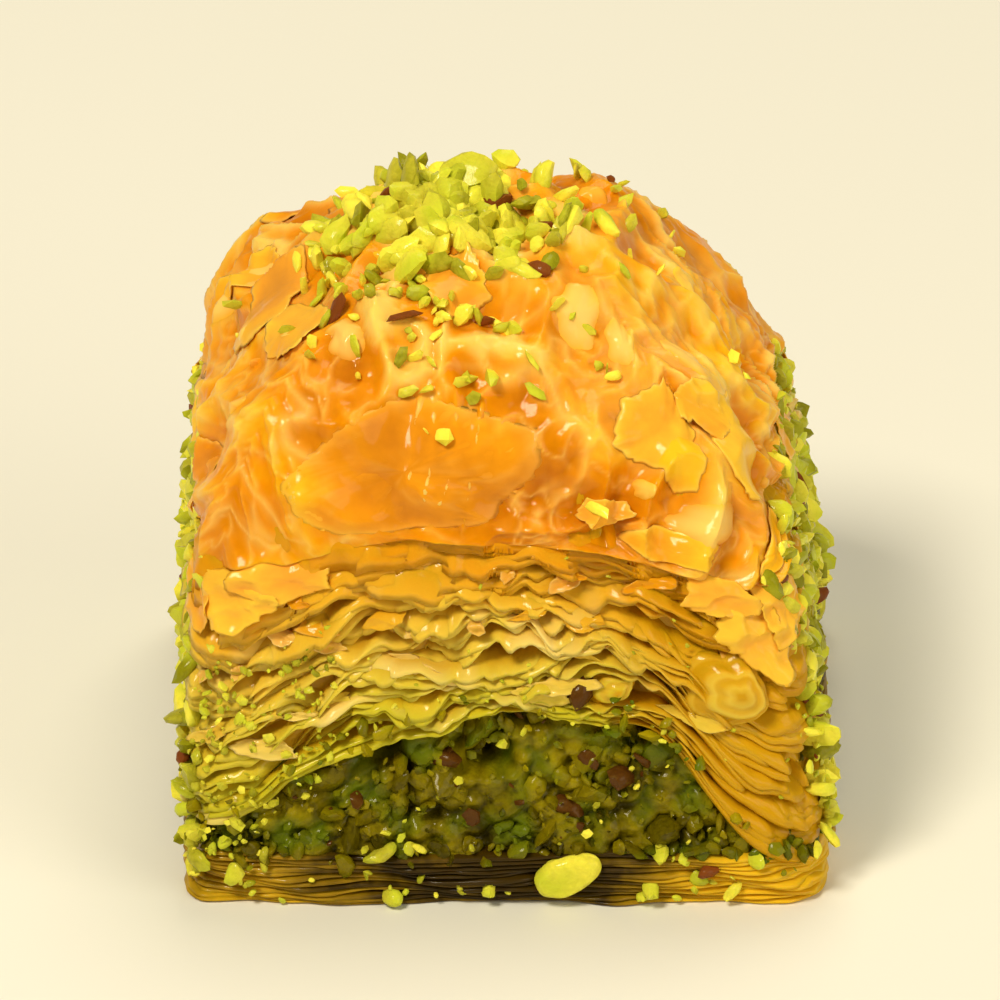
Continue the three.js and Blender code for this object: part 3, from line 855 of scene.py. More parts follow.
def leaf_edges(px, py, t, bundle, row, inward):
    """How far a free leaf's tip stands out, and the scallops of its edge: slow waves and bites that
    a bundle shares, and small tears and bites of the leaf's own."""
    shared = 0.42 * rim_noise(px, py, 8, bundle) - 0.8 * step(0.3, 0.35, rim_noise(px, py, 11, bundle + 20))
    # Fine tears die out on the steep leaves near the crust and at the corners, where they would
    # look like combs.
    fine = np.clip((0.9 - t) / 0.35, 0, 1) * (1 - 0.9 * corner_droop(px, py, 10))
    own = 0.2 * rim_noise(px, py, 15, row) + 0.16 * fine * rim_noise(px, py, 38, row) * np.exp(-inward / 0.8)
    bite = 0.6 * step(0.5, 0.3, rim_noise(px, py, 8, row + 3))
    bite = bite + 0.3 * fine * step(0.35, 0.2, rim_noise(px, py, 25, row + 5))
    scallop = 0.7 * np.abs(rim_noise(px, py, 22, bundle + 70)) * (0.4 + 0.6 * fine)
    scallop = scallop + 0.5 * fine * np.abs(rim_noise(px, py, 31, row + 14))
    return shared + own - bite + 0.7 * scallop, scallop


def leaf_waves(px, py, t, bundle, row, inward, scallop):
    """How far a free leaf rises and dips on its way round: its bundle's wave, its own crinkle and a
    curl near its tip, which turns down at a scallop."""
    wave = 0.45 * noise(px * 3.1 + t / 0.2, py * 3.1 + 17) + 0.4 * rim_noise(px, py, 9, bundle + 40)
    wave = wave + 0.28 * rim_noise(px, py, 19, bundle + 50) + 0.24 * rim_noise(px, py, 33, bundle + 55)
    crinkle = 0.12 * rim_noise(px, py, 27, row + 7) + 0.03 * rim_noise(px, py, 55, row + 8)
    curl = 0.55 * rim_noise(px, py, 17, bundle + 60) + 0.3 * rim_noise(px, py, 29, row + 9)
    curl = (curl - 0.8 * scallop) * np.exp(-inward / 0.7)
    return wave + crinkle + curl


def leaf_bands(levels, bundle, seed):
    """Points of the given leaves, as an array of leaf, step around and point of the outline, and
    the numbers that colour them. The tip's place is the cut side plus the leaf's edge. The height
    is the nested surface plus the leaf's waves and the push of the pockets. Leaves are calmer over
    the filling and under the crust."""
    random = np.random.default_rng(seed)
    around = np.arange(LEAF_STEPS)[None, :, None] / LEAF_STEPS
    px, py = square_edge(around)
    t, bundle = each(levels), each(bundle)
    row = random.uniform(0, 90, t.shape)
    inward, thick = LEAF_OUTLINE.T
    uneven = 0.85 + 0.4 * rim_noise(px, py, 15, row + 13)
    fan = corner_fan(around) * (1 - t)
    golden = bell(along_from(around, FRONT_RIGHT_CORNER), 0, 10.5, 4) * (1 - 0.6 * t)
    half = LEAF_THICKNESS / 2 * uneven * thick * (1 + 4.0 * fan)
    under_crust = np.clip((0.99 - t) / 0.16, 0, 1)  # the highest leaves are held down by the crust
    calm = np.minimum(1, 6 * t + 0.35) * (0.15 + 0.85 * under_crust)
    edge, scallop = leaf_edges(px, py, t, bundle, row, inward)
    tip = edge * (0.4 + 0.6 * calm) * under_crust - 0.35 * (1 - under_crust) + 0.5 * fan
    out = 2 / np.pi * np.arcsin(np.clip(1 - inward / 17.4, 0, 1))
    relief = crust_relief(px, py, out, 0.0) * np.clip(0.2 + inward / 1.8, 0, 1)
    x, y, z = leaf_surface(px, py, out, t, relief, tip)
    z = z + leaf_waves(px, py, t, bundle, row, inward, scallop) * calm + pocket_lift(around, t)
    z = z - FAN_DROP * fan * (1 - t) ** 0.5 + half
    # Painted shade: darker deep between the leaves and where a leaf's tip is drawn in. The golden term uses
    # the same colour to deepen the front right corner's gold, the leaves' own colour there.
    depth = np.clip(inward / 0.9, 0, 1) + np.clip(-tip - 0.2, 0, 0.4) + 1.5 * golden + 0.16
    # The tone varies at random, and the scallop term makes the bulges of the edges paler: painted highlight.
    tone = 0.5 + 0.35 * rim_noise(px, py, 10, row + 11) + 0.3 * rim_noise(px, py, 7, bundle + 80)
    tone = tone + 0.35 * (scallop - 0.6) - 0.35 * golden - 0.5 * np.clip(t - 0.6, 0, 1)
    rise = np.broadcast_to(t + 0.22 * golden, z.shape)
    return as_points(x, y, z), {"rise": rise, "depth": depth, "tone": np.broadcast_to(tone, z.shape)}


def leaf_faces(count):
    """The faces of so many bands, each a ring of closed outlines."""
    return copies(grid_faces(LEAF_STEPS, len(LEAF_OUTLINE), close_rows=True, close_columns=True), count)


def leaf_stack(name, levels, bundle, seed):
    """A piece of neighbouring leaves."""
    points, fields = leaf_bands(levels, bundle, seed)
    piece = make_piece(name, points, leaf_faces(len(levels)), leaf_finish, "baked_pastry", **fields)
    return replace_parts(piece, "top_pastry")


bundle = np.repeat(np.arange(len(BUNDLES)), BUNDLES)
levels = np.arange(len(bundle)) + BUNDLE_GAP * bundle
levels = 0.97 * levels / levels[-1]
leaf_stack("greenish_leaves", levels[:8], bundle[:8], 5)
leaf_stack("cream_leaves", levels[8:20], bundle[8:20], 6)
leaf_stack("golden_leaves", levels[20:], bundle[20:], 7)
print(len(levels), "leaves in", len(BUNDLES), "bundles")

# %% [markdown]
# ## Leaves that hang over the cut
# The knife drags some leaves down. Ends of the crust hang at the corners, small torn ends of the leaves
# stick to their neighbours, and one leaf has blown up into a round bubble. They are torn sheets again,
# laid on the cut side instead of the crust: one formula for the sheet, another for the place.

# %% Hanging flaps
def flaps_on_sides(name, sheets, seed, baked, tones, stand=0.35, soft=0.0, **detail):
    """Torn sheets on the cut sides. Each row of sheets is a way along the sides from the front left
    corner, a height, two half sizes and a turn. The upper part of a sheet goes in among the leaves,
    by the cube of its height over the middle, and shallow hollows wrinkle it. A soft one is a
    bubble with a raised ring."""
    centres, half_sizes, turned = sheets[:, :2], sheets[:, 2:4], sheets[:, 4]
    lift = np.full(len(sheets), 0.3)
    s, z, way, raised, skin, row = torn_sheets(centres, half_sizes, turned, lift, seed, soft, **detail)
    soft, half_height = each(soft), each(half_sizes[:, 1])
    above = np.clip((z - each(centres[:, 1])) / half_height, 0, 1)
    dive = np.minimum(2.2, 1.4 * half_height)
    px, py = square_edge(s / PERIMETER)
    lumps = 0.7 * hollows(s / 2.6 + row, z / 1.3) + 0.12 * swirl(s / 0.9, z / 0.5 + row) - 0.25
    groove = bell(way, 0.72, 0.07) + 0.6 * bell(way, 0.4, 0.06)
    bubble = 0.9 * (1 - way ** 2) - 0.38 * groove + 0.1 * swirl(s / 0.8, z / 0.8) - 0.9 * way ** 6
    stands = mix(lumps + raised - dive * above ** 3, bubble, soft)
    x, y = wall_point(px, py, z, each(stand) + stands + skin)
    tone = np.broadcast_to(each(tones) + 0.2 * way ** 4, x.shape)
    if baked:
        # Crust ends: raised lumps paler and hollows darker, partly painted light and painted shade.
        finish, fields = flake_finish, {"bake": 0.5 - 0.6 * lumps - tone, "pale": 0.2}
    else:
        rise = (z - lip_height(px, py)) / (shoulder_height(px, py) - lip_height(px, py))
        rise = 0.85 * np.maximum(rise, 0) + 0.3 * tone + 0.12 + (0.5 * groove - 0.12) * soft
        # Painted shade: darker where a sheet's upper part goes in among the leaves, and along a bubble's
        # groove and rim. A bubble is also darker at its middle.
        ring = 0.5 + 1.5 * bell(way, 0, 0.15) + 1.6 * groove + 1.5 * way ** 6
        depth = mix(0.35 * above + 0.4, ring, soft)
        finish, fields = leaf_finish, {"rise": rise, "depth": depth, "tone": tone}
    points = as_points(x, y, np.maximum(z, 0.02))
    piece = make_piece(name, points, sheet_faces(*x.shape), finish, "baked_pastry", **fields)
    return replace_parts(piece, "top_pastry")


random = np.random.default_rng(80)
# Ends of the crust hang down at the corners.
sheets = np.array([
    (2.4, 20.4, 4.6, 2.3, 0.1), (-2.6, 20.0, 4.2, 2.5, -0.1), (5.8, 21.8, 3.6, 1.6, 0.1),
    (34.6, 18.2, 3.6, 2.8, -0.1), (38.2, 19.2, 4.0, 2.6, 0.1), (32.4, 20.8, 3.0, 1.6, 0.0),
    (73.5, 20.2, 4.2, 2.2, 0.1), (112.0, 20.0, 4.6, 2.4, 0.1), (89.0, 22.4, 2.8, 1.5, 0.2),
    (56.0, 23.0, 4.0, 1.4, 0.0), (128.0, 23.0, 4.4, 1.3, 0.0),
])
tones = random.uniform(0.2, 0.5, len(sheets))
flaps_on_sides("crust_ends", sheets, 87, True, tones, 0.6)
# Ends of the leaves under it stick to their neighbours.
count = 170
small = np.stack([
    random.uniform(0, PERIMETER, count),
    random.uniform(10.5, 22.0, count),
    random.uniform(0.5, 2.2, count),
    random.uniform(0.25, 0.7, count),
    random.uniform(-0.5, 0.5, count),
], -1)
px, py = square_edge(small[:, 0] / PERIMETER)
small = small[small[:, 1] > lip_height(px, py) + 1.0]
tones = random.uniform(0.2, 0.8, len(small))
flaps_on_sides("leaf_ends", small, 83, False, tones, 0.1, rings=8, directions=36)
# A clear round bubble near the right corner, and a lump of leaf in the pocket left of it.
sheets = np.array([(32.3, 14.7, 2.8, 2.6, 0.0), (25.6, 14.5, 1.8, 1.2, 0.2)])
flaps_on_sides("leaf_bubbles", sheets, 84, False, np.array([0.2, 0.1]), [0.3, -0.6], np.ones(2))

# %% [markdown]
# ## Behind the leaves
# The bands are hollow inside, so a plain body fills the middle. It stays two millimetres behind the
# cut sides and shows only as the dark gold at the back of a gap, a colour darkened with painted shade.

# %% The heart of the stack
HEART_ROWS = 24
HEART_STEPS = 240  # steps round a body that is seen only through gaps


def heart():
    """A closed body round the middle axis: rows from the middle of its underside, out, up behind
    the leaves, and in again under the crust to the crown."""
    around = np.arange(HEART_STEPS)[None, :] / HEART_STEPS
    px, py = square_edge(around)
    rows = np.linspace(0, 1, HEART_ROWS)[:, None]
    t = np.clip((rows - 0.2) / 0.5, 0.02, 0.9)
    out = np.clip(np.where(rows < 0.2, rows / 0.2, np.where(rows > 0.7, (1 - rows) / 0.3, 1)), 0, 1)
    x, y, z = leaf_surface(px, py, out * 0.97, t, -0.6, -1.2 - 3.0 * pocket_depth(around, t) * out)
    z = z + 0.3 * noise(px * 9, py * 9 + rows * 30) * out
    return as_points(x, y, z), grid_faces(HEART_ROWS, HEART_STEPS, close_columns=True)


points, faces = heart()
# Its colour is darkened with painted shade.
piece = make_piece("stack_heart", points, faces, leaf_finish, "baked_pastry", rise=0.5, depth=1.2, tone=0.2)
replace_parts(piece, "top_pastry")

# %% [markdown]
# ## The foot
# The foot is the same band of leaves, pressed flat: twelve leaves in three and a half millimetres, all wet.

# %% The foot's leaves
FOOT_LEAVES = 12
FOOT_LEAF_THICKNESS = 0.3


def foot_stack():
    """As the upper leaves, but level: heights in even steps, squeezed, with small waves that vanish
    at the floor."""
    random = np.random.default_rng(12)
    around = np.arange(LEAF_STEPS)[None, :, None] / LEAF_STEPS
    px, py = square_edge(around)
    up = each(np.linspace(0, 1, FOOT_LEAVES))
    row = random.uniform(0, 90, up.shape)
    inward, thick = LEAF_OUTLINE.T
    half = FOOT_LEAF_THICKNESS / 2
    free = np.minimum(1, 5 * up)
    wave = 0.3 * noise(px * 4.4 + up * 2.2, py * 4.4 + 4) + 0.07 * rim_noise(px, py, 19, row)
    wave = wave * free * (1.15 - up)
    droop = -0.25 * np.exp(-inward / 0.5) * (0.5 + 0.5 * rim_noise(px, py, 7, row + 2)) * free
    z = half + up * (BASE_THICKNESS - FOOT_LEAF_THICKNESS) + wave + droop
    z = z + half * thick * (1.5 + 0.5 * rim_noise(px, py, 9, row + 9))
    z = np.clip(z, 0.0, None)
    tip = 0.07 * rim_noise(px, py, 12, row + 1) + 0.05 * rim_noise(px, py, 40, row + 4) - 0.3
    tip = tip - 0.16 * step(0.5, 0.3, rim_noise(px, py, 9, row + 6))
    tip = tip + 0.5 * noise(px * 6 + up * 2.0, py * 6 - up * 2.0)
    x, y = wall_point(px, py, up * BASE_THICKNESS, tip - inward)
    # Painted shade: darker inward from each leaf's edge.
    depth = 0.3 * np.clip(inward / 0.8, 0, 1)
    golden = 0.3 * corner_droop(px, py, 10) + 0.8 * bell(along_from(around, FRONT_RIGHT_CORNER), 0, 10, 4)
    golden = golden + 0.1 * bell(around, 0.06, 0.06, 4) * (1 - up)
    wet = bell(around, 0.13, 0.07, 4)  # the middle of the front has drunk most syrup
    tone = 0.26 - 0.2 * wet + 0.25 * rim_noise(px, py, 8, row + 8) + golden - 0.1 * up
    fields = {"depth": np.broadcast_to(depth, z.shape), "tone": np.broadcast_to(tone, z.shape)}
    return as_points(x, y, z), fields


def slab(low, high, outward, seed_row):
    """A closed flat body with the piece's outline between two heights, for the middle of the foot."""
    px, py = square_edge(np.arange(HEART_STEPS)[None, :] / HEART_STEPS)
    rows = np.array([0.0, 1.0, 1.0, 0.0])[:, None]
    z = np.array([low, low, high, high])[:, None]
    x, y = wall_point(px, py, z, outward + 0.2 * rim_noise(px, py, 30, seed_row), rows)
    return as_points(x, y, z), grid_faces(len(rows), HEART_STEPS, close_columns=True)


points, fields = foot_stack()
piece = make_piece("foot_leaves", points, leaf_faces(FOOT_LEAVES), foot_finish, "soaked_pastry", **fields)
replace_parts(piece, "base_pastry")
points, faces = slab(0.02, BASE_THICKNESS - 0.1, -1.6, 2)
# Its colour is half darkened with painted shade.
piece = make_piece("foot_heart", points, faces, foot_finish, "soaked_pastry", depth=0.5, tone=0.3)
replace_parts(piece, "base_pastry")

# %% [markdown]
# ## Bits of nut
# Chopped nuts are sharp, because a knife leaves flat cuts. A ball cut by a few random planes gives that
# shape: each point of the ball goes out until it meets the nearest plane. The bits are stretched,
# turned and placed as whole arrays, and joined in one mesh. There are many, so each has few faces.

# %% Cut bits
def ball(level):
    """Unit directions and triangles of a small geodesic ball: 20 faces at level 1 and 80 at level 2."""
    scratch = bmesh.new()
    bmesh.ops.create_icosphere(scratch, subdivisions=level, radius=1.0)
    scratch.verts.ensure_lookup_table()
    points = np.array([v.co[:] for v in scratch.verts])
    triangles = np.array([[v.index for v in f.verts] for f in scratch.faces])
    scratch.free()
    return points, triangles


def turns(random, count):
    """Random rotation matrices, from random unit quaternions."""
    w, x, y, z = random.normal(size=(4, count))
    length = np.sqrt(w * w + x * x + y * y + z * z)
    w, x, y, z = w / length, x / length, y / length, z / length
    rows = [1 - 2 * (y * y + z * z), 2 * (x * y - z * w), 2 * (x * z + y * w),
            2 * (x * y + z * w), 1 - 2 * (x * x + z * z), 2 * (y * z - x * w),
            2 * (x * z - y * w), 2 * (y * z + x * w), 1 - 2 * (x * x + y * y)]
    return np.stack(rows, -1).reshape(count, 3, 3)


def cut_bits(places, sizes, seed, level=1, long=1.5, flat=0.5, planes=8):
    """Bits of about the given sizes at the places, up to so long and down to so flat for their size.
    The radius along a direction d is the least of offset / (d . n) over the cutting planes n, held to
    1.15, before stretching and turning. Returns points, triangles and each point's owner."""
    random = np.random.default_rng(seed)
    count = len(places)
    directions, triangles = ball(level)
    normals = random.normal(size=(count, planes, 3))
    normals /= np.linalg.norm(normals, axis=2, keepdims=True)
    offsets = random.uniform(0.55, 0.95, (count, 1, planes))
    facing = np.einsum("vi,npi->nvp", directions, normals)
    radius = np.minimum((offsets / np.maximum(facing, 1e-3)).min(axis=2), 1.15)
    stretch = np.stack([random.uniform(1.0, long, count), random.uniform(0.75, 1.0, count),
                        random.uniform(flat, flat + 0.35, count)], -1)
    local = directions[None] * radius[:, :, None] * stretch[:, None, :]
    turned = np.einsum("nij,nvj->nvi", turns(random, count), local)
    points = places[:, None, :] + turned * each(sizes / 2)
    owner = np.repeat(np.arange(count), len(directions))
    return points.reshape(-1, 3), copies(triangles, count), owner


def bits_piece(name, places, sizes, finish, node, seed, level=1, long=1.5, flat=0.5, skins=0.03,
               tones=(0.0, 1.0), shade=0.0, smooth_angle=40.0):
    """A piece of many bits. Each bit has a tone of its own plus the shade of its place, and a few,
    the share called skins, are covered with brown skin."""
    points, faces, owner = cut_bits(places, sizes, seed, level, long, flat)
    random = np.random.default_rng(seed + 100)
    tone = (random.uniform(*tones, len(places)) + shade)[owner]
    skin = (random.uniform(size=len(places)) < skins)[owner].astype(float)
    piece = make_piece(name, points, faces, finish, "ground_pistachio", smooth_angle, tone=tone, skin=skin)
    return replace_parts(piece, node)


# %% [markdown]
# ## The filling
# The filling is ground pistachio, packed by hand and wet with syrup. Up close it is a dark paste
# with hundreds of chopped bits standing out of it. A lumpy body is the paste, set back under the
# leaves, and the bits stand in it, from meal of a third of a millimetre to pieces of nearly three.

# %% The paste
PASTE_ROWS = 80
# Where the front of the filling has fallen in: x, height, half width and half height of each dark hollow.
FALLEN_IN = ((-8.8, 10.6, 2.0, 1.1), (-1.6, 9.4, 1.7, 1.0), (10.6, 11.4, 2.4, 1.3))
FALLEN_DEPTH = 2.5
FRONT_Y = -15  # a place with a lower y is at the front


def filling_side(px, py, z, outward=0.0):
    """The filling's side at a height, behind the leaves above and spread a little on the foot."""
    spread = FILLING_SPREAD * (1 - np.clip((z - BASE_THICKNESS) / (LIP_MIDDLE - BASE_THICKNESS), 0, 1))
    return wall_point(px, py, z, outward + spread - FILLING_RECESS)


def filling_shade(places):
    """Darker towards the foot, brighter higher up under the leaves, and in patches of a few
    millimetres."""
    x, y, z = places.T
    return 0.3 - 0.07 * (z - BASE_THICKNESS) + 0.5 * swirl((x - y) / 5, z / 4)


def hollowed_side(px, py, z, outward):
    """The filling's side with the few places under the lip where its front has fallen in."""
    x, y = filling_side(px, py, z, outward)
    deep = 0.0
    for middle, height, half_width, half_height in FALLEN_IN:
        deep = np.maximum(deep, bell(x, middle, half_width, 4) * bell(z, height, half_height, 4))
    return filling_side(px, py, z, outward - FALLEN_DEPTH * deep * (y < FRONT_Y))


def paste():
    """A closed lumpy body: rows from the middle of its underside, out, up the side and in to the
    middle of its top. The lumps are noise at 2.5 mm and at 0.9 mm."""
    px, py = square_edge(np.arange(LEAF_STEPS)[None, :] / LEAF_STEPS)
    rows = np.linspace(0, 1, PASTE_ROWS)[:, None]
    up = np.clip((rows - 0.1) / 0.8, 0, 1)
    share = np.clip(np.minimum(rows / 0.1, (1 - rows) / 0.1), 0, 1)
    z = mix(BASE_THICKNESS - 0.1, lip_height(px, py) + 0.1, up)
    across = 20 * (px - py)
    lumps = 0.4 * swirl(px * 8 + z * 0.4, py * 8 - z * 0.4) + 0.35 - 1.3 * hollows(across / 1.7, z / 1.5)
    lumps = lumps + 0.2 * swirl(px * 40 - z * 2, py * 40 + z * 2)
    x, y = hollowed_side(px, py, z, lumps - 0.35)
    return as_points(x * share, y * share, z), grid_faces(PASTE_ROWS, LEAF_STEPS, close_columns=True), lumps


points, faces, lumps = paste()
# Paler on the lumps and darker in the hollows between them: painted light and painted shade.
tone = (0.75 - 0.8 * lumps).ravel() + 0.7 * (filling_shade(points) - 0.1)
piece = make_piece("filling_paste", points, faces, nut_finish, "ground_pistachio", tone=tone, skin=0.0)
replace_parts(piece, "pistachio_filling")

# %% The chopped nuts in it
def filling_places(count, low_size, high_size, seed, sunk):
    """Places on the filling's side with a size that fits the room there. Steps of 0.7549 around and
    0.5698 up, taken without their whole part, cover the side evenly."""
    random = np.random.default_rng(seed)
    k = np.arange(count)
    around = (0.7549 * k + random.uniform(0, 0.01, count)) % 1.0
    px, py = square_edge(around)
    room = lip_height(px, py) - BASE_THICKNESS
    sizes = np.minimum(low_size + (high_size - low_size) * random.uniform(0, 1, count) ** 2, 0.5 * room)
    z = BASE_THICKNESS + 0.3 * sizes + (room - 0.5 * sizes) * ((0.5698 * k) % 1.0)
    # Behind the leaves that hang down the nuts lie further in.
    hung = step(-0.5, 1.5, z - lip_height(px, py) + FAN_DROP * corner_fan(around))
    x, y = hollowed_side(px, py, z, -sunk * sizes - 0.9 * hung)
    return as_points(x, y, z), sizes


places, sizes = filling_places(480, 1.0, 2.8, 21, 0.28)
bits_piece(
    "filling_nuts", places, sizes, nut_finish, "pistachio_filling", 31, level=2, long=1.6, flat=0.4,
    skins=0.01, tones=(0.35, 0.95), shade=filling_shade(places), smooth_angle=42.0,
)
places, sizes = filling_places(1200, 0.3, 0.8, 22, -0.1)
bits_piece(
    "filling_meal", places, sizes, nut_finish, "pistachio_filling", 32,
    tones=(0.15, 0.95), shade=filling_shade(places),
)
# A few dry crumbs lie loose on it.
places, sizes = filling_places(170, 0.25, 0.85, 23, -0.8)
bits_piece(
    "filling_crumbs", places, sizes, crumb_finish, "pistachio_filling", 33, skins=0.0, tones=(-0.5, 1.0)
)

# Some of it has spilled over the edge of the foot.
random = np.random.default_rng(24)
count = 330
around = random.uniform(0, 1, count)
px, py = square_edge(around)
sizes = 0.5 + 1.1 * random.uniform(0, 1, count) ** 2
z = BASE_THICKNESS + 0.5 - 1.9 * random.uniform(0, 1, count) ** 1.6 * (0.6 + 0.5 * rim_noise(px, py, 6, 90))
x, y = wall_point(px, py, z, random.uniform(-1.0, -0.45, count))
bits_piece(
    "spilled_filling", as_points(x, y, z), sizes, nut_finish, "pistachio_filling", 34, level=2, long=1.6,
    skins=0.0, tones=(0.3, 1.0),
)

# The larger bits at the front that still have their skin: about x, height and size.
skinned = np.array([
    (7.2, 8.6, 1.9), (5.4, 9.6, 1.4), (8.8, 9.6, 1.2), (-2.0, 6.0, 1.2), (-9.0, 7.0, 1.1), (5.2, 14.2, 2.2),
])
across, z, sizes = skinned.T
x, y = filling_side(across / 19.0, np.full_like(across, -1.0), z, 0.3)
bits_piece(
    "brown_skinned_nuts", as_points(x, y, z), sizes, nut_finish, "pistachio_filling", 35, level=2, long=1.3,
    skins=1.0,
)

# %% [markdown]
# ## Crumbs
# A pinch of chopped pistachio lies on the crown, thickest a little left of the middle. Some of it
# rolled down, and much more stuck to the wet sides when the pieces were pushed apart. All of it is
# drier and brighter than the filling.

# %% The pinch on the crown
GOLDEN_ANGLE = 2.39996  # turning by it again and again spreads places evenly


def on_crust(a, b, height):
    """Places at a height over the crust with its relief."""
    px, py, out = unfold(a, b)
    return as_points(*leaf_surface(px, py, out, 1.0, crust_relief(px, py, out) + height))


random = np.random.default_rng(40)
count = 200
far = random.uniform(0, 1, count) ** 0.7 * random.uniform(0.8, 1.2, count)
turn = np.arange(count) * GOLDEN_ANGLE
sizes = mix(2.6, 1.5, np.clip(far, 0, 1)) * random.uniform(0.4, 1.15, count)
heap = 0.9 * np.clip(1 - far, 0, 1) * random.uniform(0, 1, count)
places = on_crust(-2.8 + 9.2 * far * np.cos(turn), -0.4 + 7.6 * far * np.sin(turn), heap + 0.15 * sizes)
bits_piece(
    "crown_pistachio", places, sizes, crumb_finish, "top_pastry", 41, level=2, long=1.8, flat=0.42,
    tones=(-0.4, 1.0), smooth_angle=35.0,
)

# Some have rolled off it, four in ten of them to the front.
count = 90
rolled = random.uniform(size=count) < 0.4
far = 8.5 + 9.5 * random.uniform(0, 1, count) ** 1.4
turn = random.uniform(0, 2 * np.pi, count)
a = np.where(rolled, random.normal(-2.0, 3.6, count), far * np.cos(turn))
b = np.where(rolled, random.uniform(-14.5, -7.5, count), far * np.sin(turn))
sizes = np.where(rolled, random.uniform(0.6, 1.5, count), random.uniform(0.4, 1.2, count))
places = on_crust(a, b, 0.2 + 0.15 * sizes)
# One large one has stopped at the front edge.
places[0] = on_crust(np.array([7.6]), np.array([-20.2]), 0.6)[0]
sizes[0] = 1.7
bits_piece(
    "scattered_pistachio", places, sizes, crumb_finish, "top_pastry", 42, long=2.2, flat=0.35,
    tones=(-0.4, 0.8), smooth_angle=50.0,
)


# %% Crumbs on the cut sides
def on_sides(around, t):
    """Places on the leaves' edges at levels t, where 0 is the lip and 1 the shoulder."""
    px, py = square_edge(around)
    z = mix(lip_height(px, py), shoulder_height(px, py), t)
    x, y = wall_point(px, py, z, 0.15)
    return as_points(x, y, z)


def clustered(random, count, centres, spread):
    """A share of the way around for each crumb: near one of some random centres, at a normal
    distance in mm."""
    middle = random.uniform(0, 1, centres)[random.integers(0, centres, count)]
    return middle + random.normal(0, spread / PERIMETER, count)


random = np.random.default_rng(50)
count = 900
side = np.where(random.uniform(size=count) < 0.5, RIGHT_MIDDLE, LEFT_MIDDLE)
around = side + 0.128 * (2 * (clustered(random, count, 30, 4.0) % 1.0) - 1)
sizes = 0.4 + 1.6 * random.uniform(0, 1, count) ** 1.7
places = on_sides(around, random.uniform(-0.35, 1.03, count))
bits_piece(
    "side_pistachio", places, sizes, crumb_finish, "top_pastry", 51, level=2, long=1.8, flat=0.42,
    skins=0.02, tones=(-0.1, 1.1), smooth_angle=36.0,
)
# Fewer stick to the front and the back, most of them near the left end as one faces it.
count = 330
near_corner = random.uniform(size=count) < 0.75
around = np.where(near_corner, 0.06 * random.uniform(-0.1, 1, count), random.uniform(0.005, 0.245, count))
around = around + np.where(random.uniform(size=count) < 0.4, 0.5, 0.0)
sizes = np.where(near_corner, 0.25 + 0.8 * random.uniform(0, 1, count) ** 2, random.uniform(0.2, 0.5, count))
up = np.where(near_corner, random.uniform(-0.3, 0.6, count), random.uniform(0, 1, count) ** 2 - 0.05)
places = on_sides(around, up)
bits_piece("front_pistachio", places, sizes, crumb_finish, "top_pastry", 52, skins=0.0, smooth_angle=50.0)


# %% Crumbs on the lip
random = np.random.default_rng(55)
count = 260
around = clustered(random, count, 90, 1.2)
px, py = square_edge(around)
sizes = 0.3 + 0.9 * random.uniform(0, 1, count) ** 2
hang = lip_height(px, py) - FAN_DROP * corner_fan(around % 1.0)
z = np.maximum(hang + random.uniform(-0.9, 1.5, count), 0.8)
x, y = wall_point(px, py, z, 0.1 - 0.3 * (z < hang))
bits_piece(
    "lip_pistachio", as_points(x, y, z), sizes, nut_finish, "top_pastry", 56, long=1.6, skins=0.0,
    tones=(-0.5, 0.6), smooth_angle=50.0,
)


# %% Crumbs on the foot, and the whole sliver
random = np.random.default_rng(60)
count = 130
around = clustered(random, count, 60, 1.5)
sizes = 0.4 + 1.4 * random.uniform(0, 1, count) ** 2.5
heights = np.maximum(0.6 * sizes, random.uniform(0.3, 4.6, count))
x, y = wall_point(*square_edge(around), heights, -0.25)
bits_piece(
    "foot_pistachio", as_points(x, y, heights), sizes, crumb_finish, "base_pastry", 61, level=2, skins=0.02,
    tones=(0.0, 1.1), smooth_angle=50.0,
)


def sliver():
    """A kernel's half, 4.3 by 2.5 mm: a closed egg, narrower at one end and a little flat in front.
    It leans against the front of the foot."""
    angle = np.linspace(0, np.pi, 25)[:, None]
    turn = np.linspace(0, 2 * np.pi, 41)[None, :-1]
    thin = np.sin(angle) ** 0.8 * (1 - 0.18 * np.cos(angle))
    x = 2.15 * np.cos(angle) + np.zeros_like(turn)
    y = np.maximum(thin * np.sin(turn), -0.7)
    z = 1.25 * thin * np.cos(turn) + 0.12 * noise(x * 1.3, turn)
    tilt = 0.42  # radians, so that its narrower end is up
    x, z = x * np.cos(tilt) - z * np.sin(tilt), x * np.sin(tilt) + z * np.cos(tilt)
    return as_points(x + 3.6, y - FOOT_DEPTH / 2 + 0.3, z + 2.2), grid_faces(*x.shape, close_columns=True)


points, faces = sliver()
piece = make_piece("kernel_sliver", points, faces, crumb_finish, "ground_pistachio", 40.0, tone=0.1, skin=0.0)
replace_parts(piece, "base_pastry")

# %% [markdown]
# ## Camera, light and floor
# The camera looks down at the front by 28 degrees through a long lens, so the piece keeps its
# proportions. The key light comes from the upper left and is small enough to give the syrup its
# sparkle. A broad fill from the right, a lamp overhead and a pale surrounding keep the shadows soft.

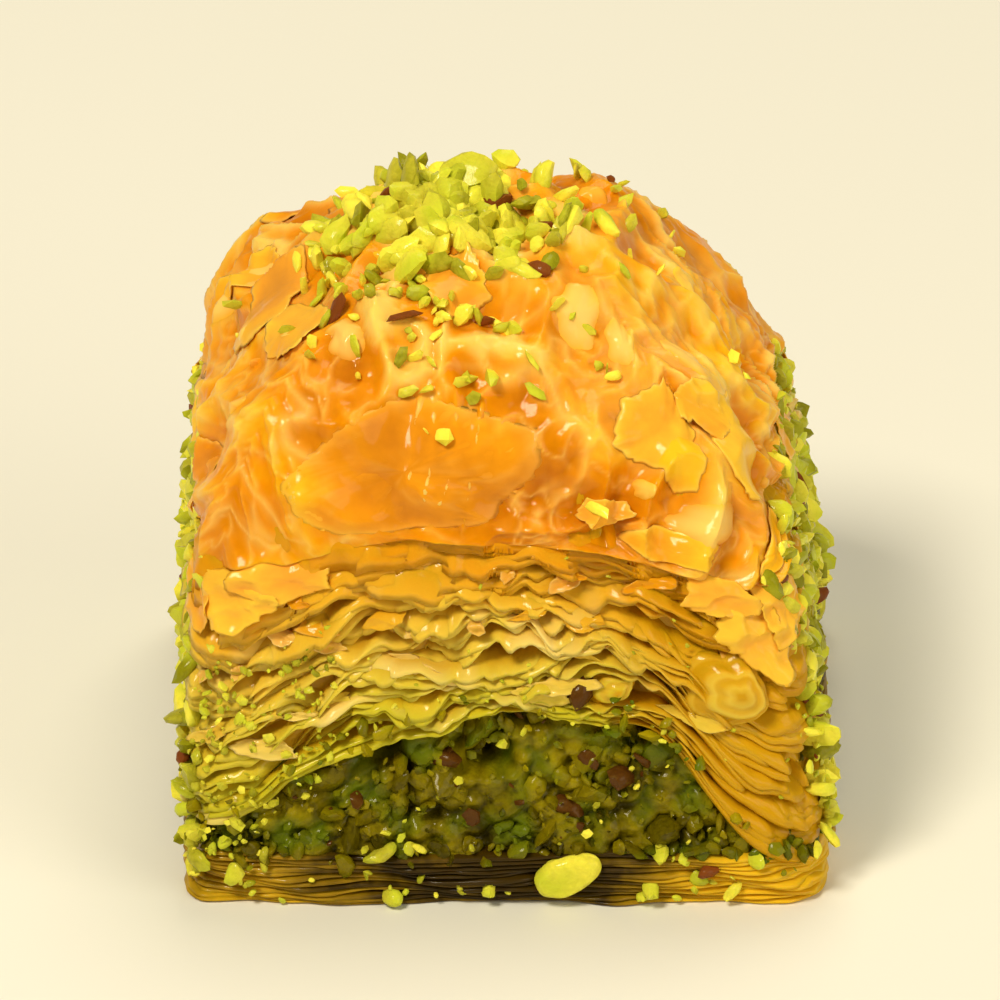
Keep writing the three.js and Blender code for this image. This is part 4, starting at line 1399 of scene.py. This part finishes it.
# %% The camera
ELEVATION = np.radians(28)
DISTANCE = 0.9
target = Vector((SIDE_SHIFT * 0.5 * MM, 0.0, 18.0 * MM))
camera = bpy.data.objects.new("camera", bpy.data.cameras.new("camera"))
bpy.context.scene.collection.objects.link(camera)
away = Vector((0.0, -np.cos(ELEVATION), np.sin(ELEVATION)))
camera.location = target + away * DISTANCE
camera.rotation_euler = (-away).to_track_quat("-Z", "Y").to_euler()
camera.data.sensor_width = 36.0
FRAME_WIDTH = 62.0 * MM  # what the view spans at the piece
camera.data.lens = camera.data.sensor_width * DISTANCE / FRAME_WIDTH
camera.data.clip_end = 10.0
bpy.context.scene.camera = camera
print("Lens:", round(camera.data.lens), "mm")


# %% The lights
def area_light(name, place, size, power, colour):
    """A square lamp at a place in metres that faces the piece."""
    lamp = bpy.data.lights.new(name, "AREA")
    lamp.size = size
    lamp.energy = power
    lamp.color = linear(colour)[:3]
    holder = bpy.data.objects.new(name, lamp)
    bpy.context.scene.collection.objects.link(holder)
    holder.location = place
    holder.rotation_euler = (target - Vector(place)).to_track_quat("-Z", "Y").to_euler()


area_light("key", (-0.32, -0.42, 0.72), 0.24, 6.0, "#FFF3DA")
area_light("fill", (0.75, -0.55, 0.45), 0.7, 3.9, "#FFF5DE")
area_light("overhead", (0.1, 0.35, 0.9), 0.5, 3.55, "#FFF5DC")
world = bpy.data.worlds.new("studio")
bpy.context.scene.world = world
world.use_nodes = True
backdrop = world.node_tree.nodes["Background"]
backdrop.inputs["Color"].default_value = linear("#FFF3D6")
backdrop.inputs["Strength"].default_value = 0.14
bpy.context.scene.view_settings.view_transform = "Standard"
bpy.context.scene.view_settings.look = "None"

# %% The floor
floor_material, floor_tree = start_material("pale_paper")
paper = add_node(floor_tree, "ShaderNodeBsdfPrincipled", s_Base_Color=linear("#ECECE4"), s_Roughness=0.8)
add_node(floor_tree, "ShaderNodeOutputMaterial", [("Surface", paper.outputs[0])])
floor_mesh = bpy.data.meshes.new("floor")
floor_mesh.from_pydata([(-4, -4, 0), (4, -4, 0), (4, 4, 0), (-4, 4, 0)], [], [(0, 1, 2, 3)])
floor_mesh.materials.append(floor_material)
floor = bpy.data.objects.new("floor", floor_mesh)
bpy.context.scene.collection.objects.link(floor)
